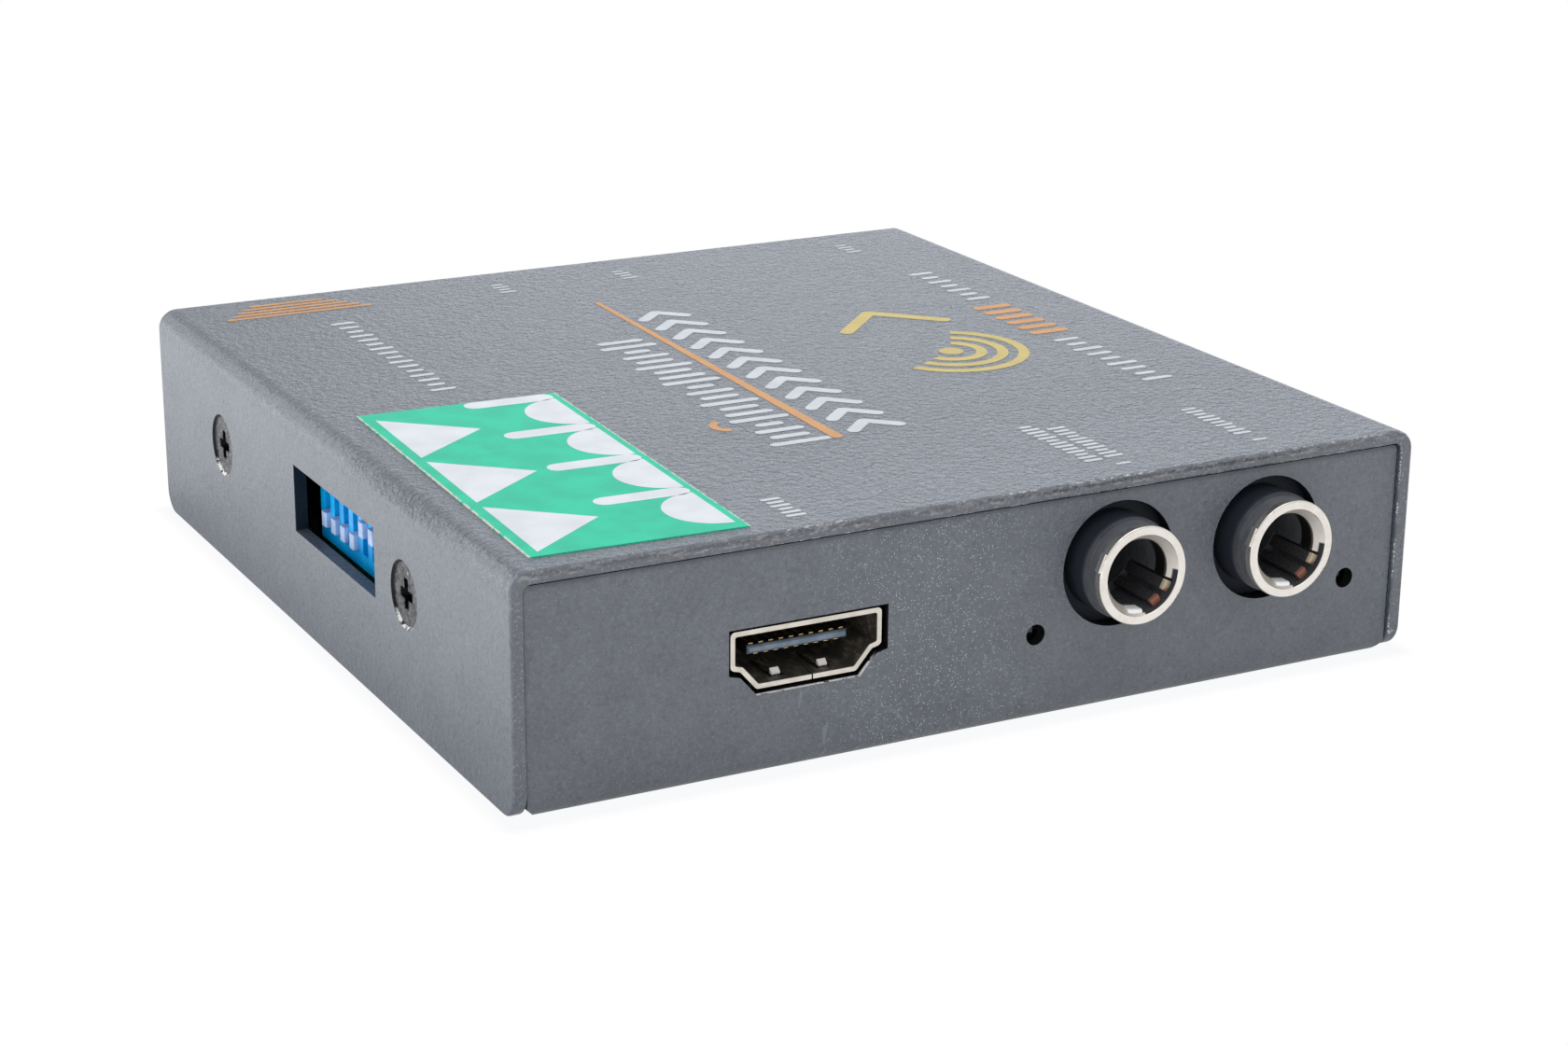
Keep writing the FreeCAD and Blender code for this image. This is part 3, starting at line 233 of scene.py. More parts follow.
def cover_paint():
    """Powder coat on the cover: painted light on the top's front, a worn front edge with a painted
    highlight, painted shade in the screw seats and window, crinkled bend.
    """
    s = powder("cover_paint", PAINT, 0.7, 0.9, 0.5)
    x, y, z = s.split()
    deep_y, side_x = s.size(y), s.size(x)
    # Faint painted glints
    colour = s.blend(s.times(s.glint, 0.3), s.coat, s.spark)

    # Painted light makes the front of the top a little paler, and a few long scratches cross it
    fore_light = s.times(s.span(z, 22.3, 22.55), s.span(y, -12.0, -46.0))
    colour = s.blend(s.times(fore_light, 0.07), colour, (0.72, 0.76, 0.86))
    streak = s.noise(1.0, 2.0, 0.7, s.stretch(0.09, 0.9, 0.5), 0.6)
    scratch = s.times(s.span(streak, 0.705, 0.72), s.span(s.noise(0.12), 0.5, 0.62))
    colour = s.blend(s.times(scratch, 0.2), colour, shade(PAINT, 2.4))

    # The sheet's cut face: thinner paint, dust, and worn specks along its upper part
    face = s.span(deep_y, EDGE - 0.05, EDGE - 0.01)
    dust = s.times(face, s.span(s.noise(3.5, 2.0, 0.7), 0.56, 0.7))
    specks = s.span(s.noise(0.8, 3.0, 0.7, s.stretch(1, 1, 3)), 0.5, 0.64)
    worn = s.times(face, s.span(z, CASE_H - 1.0, CASE_H - 0.7), specks)
    colour = s.blend(s.times(face, 0.4), colour, (0.125, 0.124, 0.13))
    colour = s.blend(s.times(dust, 0.8), colour, (0.34, 0.32, 0.3))
    colour = s.blend(s.times(worn, 0.55), colour, (0.36, 0.35, 0.35))

    # The arris above it is worn bare in short runs, mostly right of the label, and these runs
    # carry a painted highlight
    arris = s.times(s.span(deep_y, EDGE - 0.2, EDGE - 0.14), s.minus(1.0, face))
    worn_and_lit = s.times(arris, s.span(s.noise(4.0, 3.0, 0.75, s.stretch(0.4, 1, 1)), 0.46, 0.6))
    runs = s.times(s.span(s.noise(0.22, 2.0), 0.42, 0.56), s.span(x, -36.0, -12.0, 0.15, 1.0))
    colour = s.blend(s.times(worn_and_lit, runs), colour, (0.7, 0.69, 0.67))

    # Screw seats get painted shade, with a painted highlight in their lower part
    inner = 0.0
    for sy, sz in SCREWS:
        dy, dz = s.minus(y, sy), s.minus(z, sz)
        seat = s.times(s.span(s.reach(dy, dz), SEAT_R + 0.12, SEAT_R),
                       s.span(side_x, WALL + 0.02, WALL - 0.04))
        colour = s.blend(seat, colour, (0.012, 0.012, 0.014))
        # Painted highlight along each seat's lower part, in a pale metal colour
        low = s.span(s.add(dz, s.times(dy, 0.5)), -0.6, -1.4)
        bare = s.times(seat, low, s.span(s.noise(1.5, 3.0, 0.7), 0.44, 0.54))
        colour = s.blend(bare, colour, (0.8, 0.78, 0.74))
        inner = s.most(inner, s.minus(seat, bare))

    # The window's cut face gets painted shade, dark, and greyer on its sill, which faces up
    cut = s.times(s.within(y, *WINDOW_Y), s.within(z, *WINDOW_Z),
                  s.times(s.span(x, -WALL + 0.02, -WALL + 0.1),
                          s.span(x, WINDOW_BACK + 0.1, WINDOW_BACK - 0.1)))
    sill = s.span(z, WINDOW_Z[0] + 0.4, WINDOW_Z[0] + 0.24)
    colour = s.blend(cut, colour, s.blend(sill, (0.012, 0.019, 0.028), (0.075, 0.088, 0.105)))
    inner = s.most(inner, cut)

    # Relief: deepest on the top towards the front, calm on the walls, crinkled on the near bend
    rough = s.add(s.times(s.grain, 0.4), s.peel)
    deep = s.times(s.span(z, 21.8, 22.5), s.span(y, -10.0, -36.0, 0.5, 1.0))
    height = s.times(rough, s.span(deep, 0.0, 1.0, 0.35, 1.0), s.span(z, 19.5, 21.2, 0.6, 1.0))
    bend = s.times(s.span(x, -45.0, -45.8), s.span(z, 20.7, 21.3),
                   s.within(y, -32.0, -14.0, 9.0))
    height = s.add(height, s.times(bend, s.minus(rough, 0.7)))
    s.set(Base_Color=colour, Roughness=s.span(s.grain, 0.3, 0.7, 0.24, 0.34))
    s.set(Normal=s.bump(height, 0.45), Specular_IOR_Level=s.span(inner, 0.0, 1.0, 0.62, 0.1))
    return s.mat


def chassis_paint():
    """Powder coat on the chassis: painted glints, most near the HDMI socket, and cut faces in the
    panels painted dark as shade.
    """
    s = powder("chassis_paint", PANEL, 0.5, 0.76, 0.42)
    x, y, z = s.split()
    deep_y = s.size(y)
    # Painted glints, most near the HDMI socket
    glint_weight = s.add(0.2, s.times(s.within(x, -15.0, 3.0, 7.0), 0.75))
    colour = s.blend(s.times(s.glint, glint_weight), s.coat, s.spark)
    streak = s.noise(1.0, 2.0, 0.7, s.stretch(0.55, 0.5, 0.16), 1.6)
    scratch = s.times(s.span(streak, 0.69, 0.71), s.within(x, -30.0, -8.0, 5.0))
    colour = s.blend(s.times(scratch, 0.3), colour, shade(PANEL, 2.4))

    # The holes' cut faces: painted black shade, with a painted highlight in specks along the lower
    # edge under the HDMI socket
    cut = s.times(s.span(deep_y, PANEL_FACE - 0.01, PANEL_FACE - 0.06),
                  s.span(deep_y, PANEL_BACK - 0.2, PANEL_BACK - 0.1))
    cut = s.times(cut, s.times(s.span(s.size(x), 44.9, 44.7), s.span(z, 1.7, 1.9)))
    low = s.times(s.span(z, 9.6, 8.4), s.span(x, -7.0, -9.0),
                  s.span(y, 0.5 - PANEL_FACE, 0.35 - PANEL_FACE))
    edge_glint = s.times(s.span(s.noise(1.6, 3.0, 0.7), 0.36, 0.48), low)
    colour = s.blend(cut, colour, s.blend(edge_glint, SHADE_BLACK, (0.95, 0.95, 0.95)))

    # Painted shade in the corner under the cover's edge
    corner = s.times(s.span(z, 20.5, 21.1), s.span(y, 0.3 - PANEL_FACE, 0.2 - PANEL_FACE))
    colour = s.blend(s.times(corner, 0.6), colour, shade(PANEL, 0.3))
    height = s.add(s.times(s.grain, 0.8), s.times(s.peel, 0.7))
    s.set(Base_Color=colour, Roughness=s.span(s.grain, 0.3, 0.7, 0.34, 0.48))
    s.set(Normal=s.bump(height, 0.12, 0.8), Specular_IOR_Level=0.6)
    return s.mat


def metal(name, base, rough, streaks=(1, 1, 1), stain=0.1, depth=0.004):
    """Plated or bare metal: fine streaks, soft stains and a few dull spots."""
    s = Shader(name)
    fine = s.noise(9.0, 3.0, 0.6, s.stretch(*streaks))
    cloud = s.noise(0.9, 3.0, 0.6)
    spots = s.span(s.cells(1.7), 0.16, 0.05)
    colour = s.blend(s.span(cloud, 0.35, 0.7), base, shade(base, 1 - 2 * stain))
    colour = s.blend(s.times(spots, 0.25), colour, shade(base, 0.6))
    dull = s.add(s.span(fine, 0.3, 0.7, rough * 0.7, rough * 1.3), s.times(spots, 0.15))
    s.set(Base_Color=colour, Roughness=dull, Normal=s.bump(fine, depth, 0.5), Metallic=1.0)
    return s.mat


def plastic(name, base, rough, grain=6.0, depth=0.01, specular=0.5):
    """Moulded plastic: fine grain, faint flow marks and dust."""
    s = Shader(name)
    fine = s.noise(grain, 3.0, 0.6)
    flow = s.noise(0.5, 2.0, 0.5, s.stretch(1.0, 0.4, 1.0), 0.8)
    dust = s.span(s.noise(5.0, 2.0, 0.8), 0.68, 0.8)
    colour = s.blend(s.span(flow, 0.3, 0.7), shade(base, 0.85), shade(base, 1.15))
    colour = s.blend(s.times(dust, 0.12), colour, (0.5, 0.5, 0.5))
    s.set(Base_Color=colour, Roughness=s.span(fine, 0.25, 0.75, rough * 0.8, rough * 1.2))
    s.set(Normal=s.bump(fine, depth, 0.4), Specular_IOR_Level=specular)
    return s.mat


def board_mask(name):
    """Green solder mask over copper tracks, with plated dots; painted shade makes it near black at
    the front edge.
    """
    s = Shader(name)
    x, y = s.split()[:2]
    weave = s.noise(0.25, 1.0, 0.5)
    rows = s.add(x, s.times(s.math("ROUND", s.times(weave, 7.0)), 1.3))
    cols = s.add(y, s.times(s.math("ROUND", s.times(weave, 5.0)), 1.1))
    side = s.span(s.noise(0.13), 0.48, 0.52)
    lines = s.math("MINIMUM", s.add(s.math("PINGPONG", rows, 0.65), side),
                   s.add(s.math("PINGPONG", cols, 0.9), s.minus(1.0, side)))
    track = s.span(lines, 0.22, 0.16)
    via = s.span(s.cells(0.33), 0.13, 0.1)
    colour = s.blend(track, (0.008, 0.09, 0.04), (0.02, 0.17, 0.07))
    colour = s.blend(s.times(via, 0.8), colour, (0.6, 0.5, 0.25))
    # Painted shade behind the front panel
    colour = s.blend(s.span(y, -44.6, -45.4), colour, (0.006, 0.008, 0.007))
    s.set(Base_Color=colour, Roughness=s.span(s.noise(4.0), 0.3, 0.7, 0.25, 0.38))
    s.set(Normal=s.bump(track, 0.03, 0.4))
    return s.mat


def printed(name, base, rough, worn=0.25, specular=0.5):
    """Screen print or film: dense colour with a fine screen and small worn specks."""
    s = Shader(name)
    screen = s.noise(7.0, 2.0, 0.6)
    soft = s.noise(0.3, 2.0)
    speck = s.span(s.noise(3.2, 3.0, 0.7), 0.66, 0.74)
    colour = s.blend(s.span(soft, 0.3, 0.7), shade(base, 0.94), shade(base, 1.05))
    colour = s.blend(s.times(speck, worn), colour, shade(base, 0.45))
    s.set(Base_Color=colour, Roughness=s.span(screen, 0.3, 0.7, rough * 0.85, rough * 1.15))
    s.set(Normal=s.bump(screen, 0.01, 0.4), Specular_IOR_Level=specular)
    return s.mat


def screw_head(name):
    """Dark plated screws with painted black shade in the cross recess and round it, and a few worn
    spots.
    """
    s = Shader(name)
    x, y, z = s.split()
    fine = s.noise(7.0, 3.0, 0.6)
    cloud = s.noise(1.6, 3.0, 0.7)
    spots = s.span(s.noise(2.6, 3.0, 0.7), 0.58, 0.66)
    colour = s.blend(s.span(cloud, 0.38, 0.62), (0.02, 0.02, 0.023), (0.1, 0.1, 0.105))
    colour = s.blend(s.times(spots, 0.6), colour, (0.6, 0.56, 0.5))
    # Painted shade: the recess and a ragged ring round it go black
    away = [s.reach(s.minus(y, sy), s.minus(z, sz)) for sy, sz in SCREWS]
    close = s.span(s.math("MINIMUM", *away), 2.0, 1.1)
    recess_shade = s.times(close, s.span(s.noise(1.9, 3.0, 0.7), 0.46, 0.54))
    sunk = s.most(s.span(s.size(x), WALL - 0.27, WALL - 0.36), s.times(recess_shade, 0.9))
    colour = s.blend(sunk, colour, SHADE_BLACK)
    s.set(Base_Color=colour, Roughness=s.span(fine, 0.3, 0.7, 0.3, 0.48))
    s.set(Metallic=s.span(sunk, 0.0, 1.0, 0.85, 0.0), Normal=s.bump(fine, 0.01, 0.5))
    s.set(Specular_IOR_Level=s.span(sunk, 0.0, 1.0, 0.5, 0.04))
    return s.mat


def socket_shell(name):
    """Nickel plate: bright cut rim, finger ends with a painted highlight, and dull with painted
    shade and painted brownish reflections towards the socket's inside.
    """
    s = Shader(name)
    x, y, z = s.split()
    fine = s.noise(9.0, 3.0, 0.6, s.stretch(1, 0.3, 1))
    cloud = s.noise(0.9, 3.0, 0.6)
    spots = s.span(s.cells(1.7), 0.16, 0.05)
    bright = s.blend(s.span(cloud, 0.35, 0.7), (0.74, 0.68, 0.6), (0.62, 0.57, 0.5))
    # Inside the socket: painted shade with streaks of painted brownish reflection
    brown = s.noise(1.6, 3.0, 0.7, s.stretch(1, 0.5, 1))
    dark = s.blend(s.span(brown, 0.45, 0.75), (0.075, 0.067, 0.056), (0.3, 0.25, 0.19))
    inside = s.span(y, -47.24, -47.1)
    # Painted highlight on the finger ends
    tip_highlight = s.times(s.within(y, -46.05, -45.5), s.span(x, -14.6, -15.0), s.within(z, 8.5, 9.6))
    colour = s.blend(inside, bright, dark)
    colour = s.blend(s.times(spots, 0.25), colour, (0.35, 0.325, 0.3))
    colour = s.blend(tip_highlight, colour, (1.0, 0.93, 0.88))
    plated = s.span(inside, 0.0, 1.0, 1.0, 0.4)
    s.set(Base_Color=colour, Metallic=s.times(plated, s.span(tip_highlight, 0.0, 1.0, 1.0, 0.0)))
    s.set(Roughness=s.add(s.span(fine, 0.3, 0.7, 0.2, 0.34), s.times(inside, 0.12)))
    s.set(Normal=s.bump(fine, 0.004, 0.5))
    return s.mat


def label_film(name):
    """Green film with a fine screen, and pale worn paper along its two long edges."""
    s = Shader(name)
    x, y = s.split()[:2]
    across = s.add(s.times(s.minus(x, LABEL_X), math.cos(LABEL_TURN)),
                   s.times(s.minus(y, LABEL_Y), math.sin(LABEL_TURN)))
    screen = s.noise(7.0, 2.0, 0.6)
    speck = s.span(s.noise(1.3, 3.0, 0.7), 0.74, 0.78)
    soft = s.span(s.noise(0.3, 2.0), 0.3, 0.7)
    colour = s.blend(soft, (0.009, 0.54, 0.32), (0.011, 0.63, 0.375))
    colour = s.blend(s.times(speck, 0.5), colour, (0.004, 0.2, 0.13))
    edge = s.most(s.span(across, 0.24, 0.16), s.span(across, LABEL_W - 0.18, LABEL_W - 0.1))
    edge = s.times(edge, s.span(s.noise(1.6, 3.0, 0.7), 0.4, 0.5))
    colour = s.blend(edge, colour, (0.72, 0.68, 0.58))
    s.set(Base_Color=colour, Roughness=s.span(screen, 0.3, 0.7, 0.42, 0.56))
    s.set(Normal=s.bump(screen, 0.01, 0.4), Specular_IOR_Level=0.2)
    return s.mat


def from_jack(s, x):
    """How far x is to the right of the nearer jack's axis."""
    left = JACK_X - JACK_PITCH / 2
    step = s.math("FLOORED_MODULO", s.minus(x, left), JACK_PITCH)
    return s.minus(step, JACK_PITCH / 2)


def jack_ring(name):
    """Warm bright nickel: duller down the bore with painted shade darkening it, and painted black
    shade along the slot.
    """
    s = Shader(name)
    x, y, z = s.split()
    fine = s.noise(9.0, 3.0, 0.6)
    cloud = s.noise(0.9, 3.0, 0.6)
    colour = s.blend(s.span(cloud, 0.35, 0.7), (0.85, 0.795, 0.73), (0.79, 0.73, 0.66))
    off = from_jack(s, x)
    away = s.reach(off, s.minus(z, JACK_Z))
    behind = s.span(y, RING_FACE + 0.02, RING_FACE + 0.1)
    # Painted black shade along the slot's edge and lip
    slot_shade = s.times(s.within(away, 3.98, 4.2), s.span(y, RING_FACE + 0.2, RING_FACE + 0.26))
    lip = s.times(s.within(away, 3.55, 3.95), s.times(s.span(off, 0.4, 0.6), behind))
    slot = s.times(s.span(z, JACK_Z + 0.1, JACK_Z - 0.1), s.span(y, -50.6, -50.7))
    slot_shade = s.times(s.most(slot_shade, lip), slot)
    colour = s.blend(slot_shade, colour, (0.006, 0.007, 0.01))
    # Painted shade darkens the bore
    bore = s.times(s.span(away, 4.0, 3.9), behind)
    colour = s.blend(s.times(bore, s.span(y, -50.9, -50.3)), colour, (0.05, 0.046, 0.042))
    dull = s.add(s.span(fine, 0.3, 0.7, 0.15, 0.27), s.times(bore, 0.33))
    s.set(Base_Color=colour, Roughness=dull)
    s.set(Metallic=s.minus(1.0, slot_shade), Normal=s.bump(fine, 0.002, 0.5))
    return s.mat


def jack_springs(name):
    """Folded heads painted white as a highlight, a beige upper and a coppery lower pad, and
    painted shade down the bore.
    """
    s = Shader(name)
    x, y, z = s.split()
    fine = s.noise(6.0, 2.0, 0.6)
    pads = s.span(from_jack(s, x), 0.8, 1.2)
    lower = s.times(pads, s.span(z, 12.2, 11.9))
    beige = s.blend(s.span(fine, 0.3, 0.7), (0.78, 0.64, 0.44), (0.6, 0.48, 0.32))
    # The heads are painted white as a highlight
    colour = s.blend(pads, (1.0, 0.99, 0.97), beige)
    colour = s.blend(lower, colour, (0.4, 0.17, 0.12))
    # Painted shade down the bore
    deep = s.most(s.span(y, -50.3, -49.9), s.times(pads, s.span(y, -50.6, -50.45)))
    s.set(Base_Color=s.blend(deep, colour, (0.06, 0.058, 0.06)))
    s.set(Roughness=s.span(fine, 0.3, 0.7, 0.2, 0.34), Normal=s.bump(fine, 0.004, 0.5))
    return s.mat


def jack_plastic(name):
    """Black moulding, dull, with painted shade darkest where the nose goes into the panel."""
    s = Shader(name)
    x, y, z = s.split()
    fine = s.noise(5.0, 3.0, 0.6)
    rings = s.noise(2.2, 2.0, 0.5, s.stretch(0.3, 1.0, 0.3))
    front = s.blend(s.span(rings, 0.35, 0.65), (0.09, 0.094, 0.103), (0.12, 0.124, 0.133))
    # Painted shade on the nose where it goes into the panel
    outside = s.span(s.reach(from_jack(s, x), s.minus(z, JACK_Z)), 4.3, 4.5)
    foot = s.times(outside, s.span(y, -49.7, -48.7))
    s.set(Base_Color=s.blend(foot, front, (0.026, 0.03, 0.04)))
    s.set(Roughness=s.span(fine, 0.25, 0.75, 0.42, 0.6), Normal=s.bump(fine, 0.02, 0.4))
    s.set(Specular_IOR_Level=s.span(foot, 0.0, 1.0, 0.5, 0.12))
    return s.mat


def socket_tongue(name):
    """Moulded tongue: pale at its front edge, near black behind it."""
    s = Shader(name)
    y = s.split()[1]
    fine = s.noise(6.0, 3.0, 0.6)
    pale = s.blend(s.span(s.noise(1.1, 2.0), 0.3, 0.7), (0.13, 0.175, 0.235), (0.21, 0.26, 0.32))
    colour = s.blend(s.span(y, -45.5, -45.38), pale, (0.012, 0.012, 0.014))
    s.set(Base_Color=colour, Roughness=s.span(fine, 0.25, 0.75, 0.3, 0.45))
    s.set(Normal=s.bump(fine, 0.01, 0.4), Specular_IOR_Level=0.6)
    return s.mat


FINISH = {
    "cover_paint": cover_paint(),
    "chassis_paint": chassis_paint(),
    "screw_steel": screw_head("screw_steel"),
    "zinc_steel": metal("zinc_steel", (0.62, 0.61, 0.58), 0.3),
    "board_green": board_mask("board_green"),
    "socket_plate": socket_shell("socket_plate"),
    "socket_black": plastic("socket_black", (0.012, 0.012, 0.014), 0.42),
    "tongue_grey": socket_tongue("tongue_grey"),
    "contact_gold": metal("contact_gold", (0.86, 0.63, 0.25), 0.2, (1, 0.2, 1)),
    "jack_black": jack_plastic("jack_black"),
    "jack_nickel": jack_ring("jack_nickel"),
    "spring_plate": jack_springs("spring_plate"),
    "bnc_nickel": metal("bnc_nickel", (0.78, 0.75, 0.7), 0.18, (1, 3, 1), 0.06, 0.003),
    "bnc_white": plastic("bnc_white", (0.8, 0.79, 0.76), 0.4),
    "switch_blue": plastic("switch_blue", (0.0, 0.43, 1.0), 0.34, 4.0),
    "slider_white": plastic("slider_white", (0.46, 0.59, 0.85), 0.35, 4.0),
    "chip_black": plastic("chip_black", (0.02, 0.02, 0.022), 0.55),
    "pad_grey": plastic("pad_grey", (0.3, 0.33, 0.37), 0.8),
    "sink_aluminium": metal("sink_aluminium", (0.8, 0.81, 0.83), 0.34, (1, 0.15, 1)),
    "coil_grey": plastic("coil_grey", (0.1, 0.1, 0.11), 0.6, 4.0, 0.03),
    "can_aluminium": metal("can_aluminium", (0.85, 0.85, 0.86), 0.22, (1, 1, 0.2)),
    "small_tan": plastic("small_tan", (0.4, 0.28, 0.17), 0.45),
    # Painted shade: the white lamp gets a dark grey, as it sits in shade inside the box
    "lamp_white": plastic("lamp_white", (0.2, 0.21, 0.19), 0.3),
    "label_film": label_film("label_film"),
}
INK_WHITE = printed("ink_white", (0.64, 0.655, 0.68), 0.5, 0.2)
INK_ORANGE = printed("ink_orange", (0.66, 0.31, 0.09), 0.5, 0.2)
INK_YELLOW = printed("ink_yellow", (0.62, 0.48, 0.13), 0.5, 0.2)
FILM_WHITE = printed("film_white", (0.74, 0.76, 0.78), 0.42, 0.05, 0.4)

for part in frame["record"]["subparts"]:
    mesh = frame["nodes"][part["node"]].data
    mesh.materials.clear()
    mesh.materials.append(FINISH[part["material_slot"]])


# Prints: thin raised patches in one mesh for each colour


class Ribbons:
    """Flat marks, gathered in millimetres and turned into one mesh that stands slightly proud."""

    THICK = 0.02
    STEP_UP = 0.002  # so that the bars of a path don't share a plane
    END_STEPS = 6  # chords in a bar's round end

    def __init__(self, z):
        self.z = z
        self.verts = []
        self.faces = []

    def polygon(self, points):
        """A convex patch: its corners at z and z + THICK, joined by a wall round the rim."""
        points = np.asarray(points, float)
        edge = np.roll(points, -1, axis=0)
        turn = points[:, 0] * edge[:, 1] - edge[:, 0] * points[:, 1]
        if turn.sum() < 0:
            points = points[::-1]
        count, base = len(points), len(self.verts)
        for level in (self.z, self.z + self.THICK):
            self.verts += [(px, py, level) for px, py in points]
        self.faces.append(tuple(base + count + k for k in range(count)))
        self.faces.append(tuple(base + count - 1 - k for k in range(count)))
        for k in range(count):
            after = (k + 1) % count
            self.faces.append((base + k, base + after, base + count + after, base + count + k))

    def bar(self, start, end, width, taper=1.0):
        """A round-ended bar whose far end is taper times as wide: two half circles joined."""
        start, end = np.asarray(start, float), np.asarray(end, float)
        angle = math.atan2(*(end - start)[::-1])
        points = []
        for centre, radius, first in ((end, width * taper / 2, -90), (start, width / 2, 90)):
            for k in range(self.END_STEPS + 1):
                a = angle + math.radians(first + 180 / self.END_STEPS * k)
                points.append(centre + radius * np.array([math.cos(a), math.sin(a)]))
        self.polygon(points)

    def path(self, points, width):
        """A bar along each stretch of a polyline, each a hair higher than the last."""
        level = self.z
        for k in range(len(points) - 1):
            self.z = level + self.STEP_UP * k
            self.bar(points[k], points[k + 1], width)
        self.z = level

    def arc(self, centre, radius, start, end, width, steps=10):
        """A ribbon along a circle from angle start to end in degrees, as a chain of quads."""
        for k in range(steps):
            a0, a1 = (math.radians(start + (end - start) * (k + m) / steps) for m in (0, 1))
            inner, outer = radius - width / 2, radius + width / 2
            quad = []
            for a, r in ((a0, inner), (a0, outer), (a1, outer), (a1, inner)):
                quad.append((centre[0] + r * math.cos(a), centre[1] + r * math.sin(a)))
            self.polygon(quad)

    def disc(self, centre, radius, start=0, end=360, steps=28):
        """A disc, or a slice of one, as points round a circle."""
        count = steps if end - start >= 360 else steps + 1
        points = []
        for k in range(count):
            a = math.radians(start + (end - start) * k / steps)
            points.append((centre[0] + radius * math.cos(a), centre[1] + radius * math.sin(a)))
        self.polygon(points)

    def build(self, name, material, place=None):
        """Makes the mesh object; place, if given, moves the array of its corners."""
        verts = np.array(self.verts)
        if place is not None:
            verts = place(verts)
        mesh = bpy.data.meshes.new(name)
        mesh.from_pydata((verts * MM).tolist(), [], self.faces)
        mesh.update()
        obj = bpy.data.objects.new(name, mesh)
        bpy.context.scene.collection.objects.link(obj)
        mesh.materials.append(material)
        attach(obj, "case")


def from_corner(x, y):
    """A place on the top, from millimetres off the front left corner."""
    return x - CASE_W / 2, y - CASE_D / 2


def level_row(ink, x, y0, y1, pitch, width, lengths):
    """A row of bars centred on x, at even steps from y0 to y1, whose lengths come round again."""
    steps = int((y1 - y0) / pitch)
    for k in range(steps + 1):
        half = lengths[k % len(lengths)] / 2
        y = y0 + k * pitch
        ink.bar(from_corner(x - half, y), from_corner(x + half, y), width)


white = Ribbons(CASE_H + PRINT_LIFT)
# Two lines in the middle: bars and chevrons
level_row(white, 39.2, 22.5, 63.0, 2.1, 1.0, (5.4, 3.2, 4.2, 2.0, 5.4, 4.2, 3.2))
for k in range(12):
    y = 23.4 + 4.2 * k
    white.path([from_corner(45.4, y), from_corner(47.9, y + 2.4), from_corner(50.4, y)], 1.3)
# Lines at the left and right
level_row(white, 16.0, 54.0, 82.5, 1.9, 0.7, (2.0, 1.2, 1.6))
level_row(white, 81.9, 26.0, 44.0, 2.1, 0.8, (2.8, 1.6, 2.2))
level_row(white, 82.8, 62.0, 76.0, 2.1, 0.8, (2.2, 1.4))
# Small marks over the front sockets, then at the rear ones
for x, y0, y1 in ((60.5, 5.2, 17.5), (63.0, 5.6, 15.9), (78.1, 6.3, 15.2), (28.4, 3.2, 8.3)):
    level_row(white, x, y0, y1, 0.98, 0.52, (1.5, 1.5, 0.9, 1.5, 1.2))
for x, y in ((62.5, 3.2), (78.3, 3.8)):
    white.bar(from_corner(x - 0.6, y), from_corner(x + 0.6, y), 0.45)
for x in (37.3, 52.2, 81.3):
    level_row(white, x, 87.6, 91.6, 1.1, 0.45, (1.5, 1.0))
white.build("top_print_white", INK_WHITE)

orange = Ribbons(CASE_H + PRINT_LIFT)
# The rule between the two lines and the hook beside it
orange.bar(from_corner(43.05, 22.4), from_corner(44.06, 78.7), 1.15, 0.5)
orange.arc(from_corner(35.6, 30.1), 1.6, 110, 250, 0.8)
# Stripes in the rear left corner, and short bars in the right line
for k in range(5):
    y = 89.0 + 1.15 * k
    orange.bar(from_corner(5.6 + k, y), from_corner(21.5 - k, y), 0.6)
for k in range(6):
    y = 46.5 + 2.3 * k
    orange.bar(from_corner(80.4, y), from_corner(83.8, y), 1.3)
orange.build("top_print_orange", INK_ORANGE)

yellow = Ribbons(CASE_H + PRINT_LIFT)
# A dot with three arcs and a chevron, in the big mark's place
for k in range(3):
    yellow.arc(from_corner(68.5, 44.0), 3.2 + 2.2 * k, -150, 60, 1.15, 16)
yellow.disc(from_corner(68.5, 44.0), 1.3)
yellow.path([from_corner(62.5, 55.5), from_corner(68.5, 61.5), from_corner(74.5, 55.5)], 1.5)
yellow.build("top_print_yellow", INK_YELLOW)


def on_label(verts):
    """Turns the label's own millimetres onto the cover."""
    c, s = math.cos(LABEL_TURN), math.sin(LABEL_TURN)
    x = LABEL_X + verts[:, 0] * c - verts[:, 1] * s
    y = LABEL_Y + verts[:, 0] * s + verts[:, 1] * c
    return np.stack([x, y, verts[:, 2]], 1)


film = Ribbons(CASE_H + LABEL_T + FILM_LIFT)
# Triangles on one side, half discs and bars on the other
for k in range(3):
    y = 1.0 + 14.6 * k
    film.polygon([(1.2, y), (9.4, y + 6.6), (1.2, y + 13.2)])
for k in range(4):
    y = 6.0 + 11.0 * k
    film.disc((19.6, y), 4.6, 90, 270, 20)
    film.bar((11.6, y + 5.4), (18.6, y + 5.4), 2.2)
film.build("label_print", FILM_WHITE, on_label)


# Stage


FLOOR_HALF = 40  # metres
FLOOR_DROP = 0.00005  # below the underside
FRONT_BOUNCE = 1.0  # what the floor sends up in front, and at its most on the left
LEFT_BOUNCE = 1.75


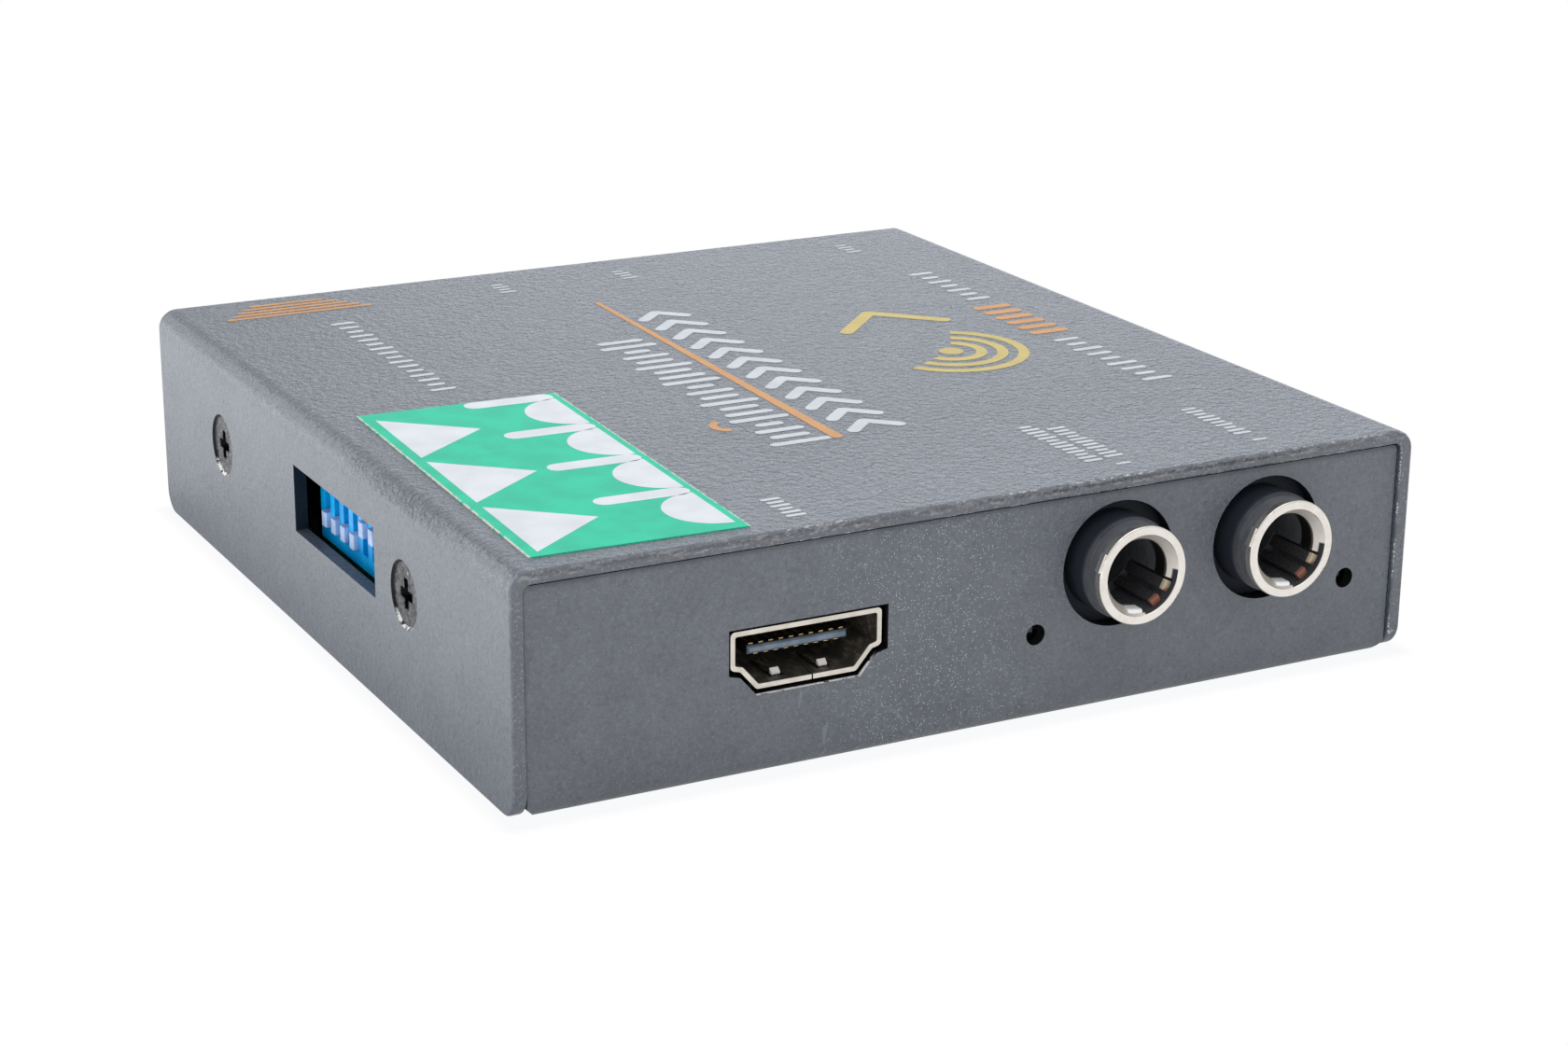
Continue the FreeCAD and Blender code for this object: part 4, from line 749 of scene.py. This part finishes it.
def stage_floor():
    """A wide sheet under the part: white to the camera, with a faint shade by the part's foot."""
    mesh = bpy.data.meshes.new("floor")
    h = FLOOR_HALF
    mesh.from_pydata([(-h, -h, 0), (h, -h, 0), (h, h, 0), (-h, h, 0)], [], [(0, 1, 2, 3)])
    obj = bpy.data.objects.new("floor", mesh)
    obj.location.z = -FLOOR_DROP
    bpy.context.scene.collection.objects.link(obj)
    s = Shader("floor")
    nodes, links = s.tree.nodes, s.tree.links
    x, y = s.split()[:2]
    away = s.reach(s.most(s.minus(s.size(x), WALL), 0.0), s.most(s.minus(s.size(y), EDGE), 0.0))
    tone = s.blend(s.span(away, 0.0, 2.0), (0.94, 0.945, 0.96), (1.0, 1.0, 1.0))
    glow = nodes.new("ShaderNodeEmission")
    s.put(tone, glow.inputs["Color"])
    bounce = nodes.new("ShaderNodeEmission")
    bounce.inputs["Color"].default_value = (0.96, 0.98, 1.0, 1)
    left = s.span(x, -WALL - 36.0, -WALL, LEFT_BOUNCE, FRONT_BOUNCE)
    s.put(s.times(left, s.span(away, 0.0, 14.0, 0.62, 1.0)), bounce.inputs["Strength"])
    path = nodes.new("ShaderNodeLightPath")
    pick = nodes.new("ShaderNodeMixShader")
    links.new(path.outputs["Is Camera Ray"], pick.inputs[0])
    links.new(bounce.outputs[0], pick.inputs[1])
    links.new(glow.outputs[0], pick.inputs[2])
    links.new(pick.outputs[0], nodes["Material Output"].inputs["Surface"])
    mesh.materials.append(s.mat)


def sky(level, camera_level):
    """Even white surroundings: plain white to the camera, level elsewhere."""
    world = bpy.data.worlds.new("sky")
    bpy.context.scene.world = world
    world.use_nodes = True
    nodes, links = world.node_tree.nodes, world.node_tree.links
    back = nodes["Background"]
    path = nodes.new("ShaderNodeLightPath")
    pick = nodes.new("ShaderNodeMix")
    pick.inputs[2].default_value = level
    pick.inputs[3].default_value = camera_level
    links.new(path.outputs["Is Camera Ray"], pick.inputs[0])
    links.new(pick.outputs[0], back.inputs["Strength"])
    back.inputs["Color"].default_value = (0.93, 0.96, 1.0, 1)


def softbox(name, at, to, size, power, colour=(1, 1, 1)):
    """A square area light at a place in millimetres, turned to face another."""
    light = bpy.data.lights.new(name, "AREA")
    light.size = size * MM
    light.energy = power
    light.color = colour
    obj = bpy.data.objects.new(name, light)
    obj.location = Vector(at) * MM
    obj.rotation_euler = (Vector(to) - Vector(at)).to_track_quat("-Z", "Y").to_euler()
    bpy.context.scene.collection.objects.link(obj)


CAMERA_TURN = (-28.101, 18.335, 0.47)  # azimuth, elevation and roll in degrees
CAMERA_AIM = (11.785, 13.67, 0)
CAMERA_DISTANCE = 336.227
CAMERA_LENS = 70.41  # for a sensor 36 wide


def camera():
    """The photograph's camera: place and turn from the fitted view."""
    azimuth, elevation, roll = (math.radians(a) for a in CAMERA_TURN)
    flat = math.cos(elevation)
    back = Vector((math.sin(azimuth) * flat, -math.cos(azimuth) * flat, math.sin(elevation)))
    right = Vector((0, 0, 1)).cross(back).normalized()
    up = back.cross(right)
    c, s = math.cos(roll), math.sin(roll)
    right, up = c * right + s * up, c * up - s * right
    data = bpy.data.cameras.new("camera")
    data.sensor_width = 36
    data.lens = CAMERA_LENS
    data.clip_start = 0.01
    obj = bpy.data.objects.new("camera", data)
    turn = Matrix((right, up, back)).transposed()
    place = (Vector(CAMERA_AIM) + back * CAMERA_DISTANCE) * MM
    obj.matrix_world = Matrix.Translation(place) @ turn.to_4x4()
    bpy.context.scene.collection.objects.link(obj)
    bpy.context.scene.camera = obj


stage_floor()
sky(0.84, 1.0)
softbox("top_light", (10, -60, 380), (0, -10, 20), 320, 0.25)
softbox("left_light", (-340, 340, 110), (-40, 0, 12), 240, 0.36, (0.92, 0.96, 1.0))
softbox("rear_light", (640, 1000, 330), (0, 0, 22), 700, 1.04, (0.88, 0.92, 1.0))
softbox("edge_light", (-236, 500, 270), (-46, 0, 22), 110, 0.17)
camera()
bpy.context.scene.view_settings.view_transform = "Standard"
bpy.context.scene.view_settings.look = "None"
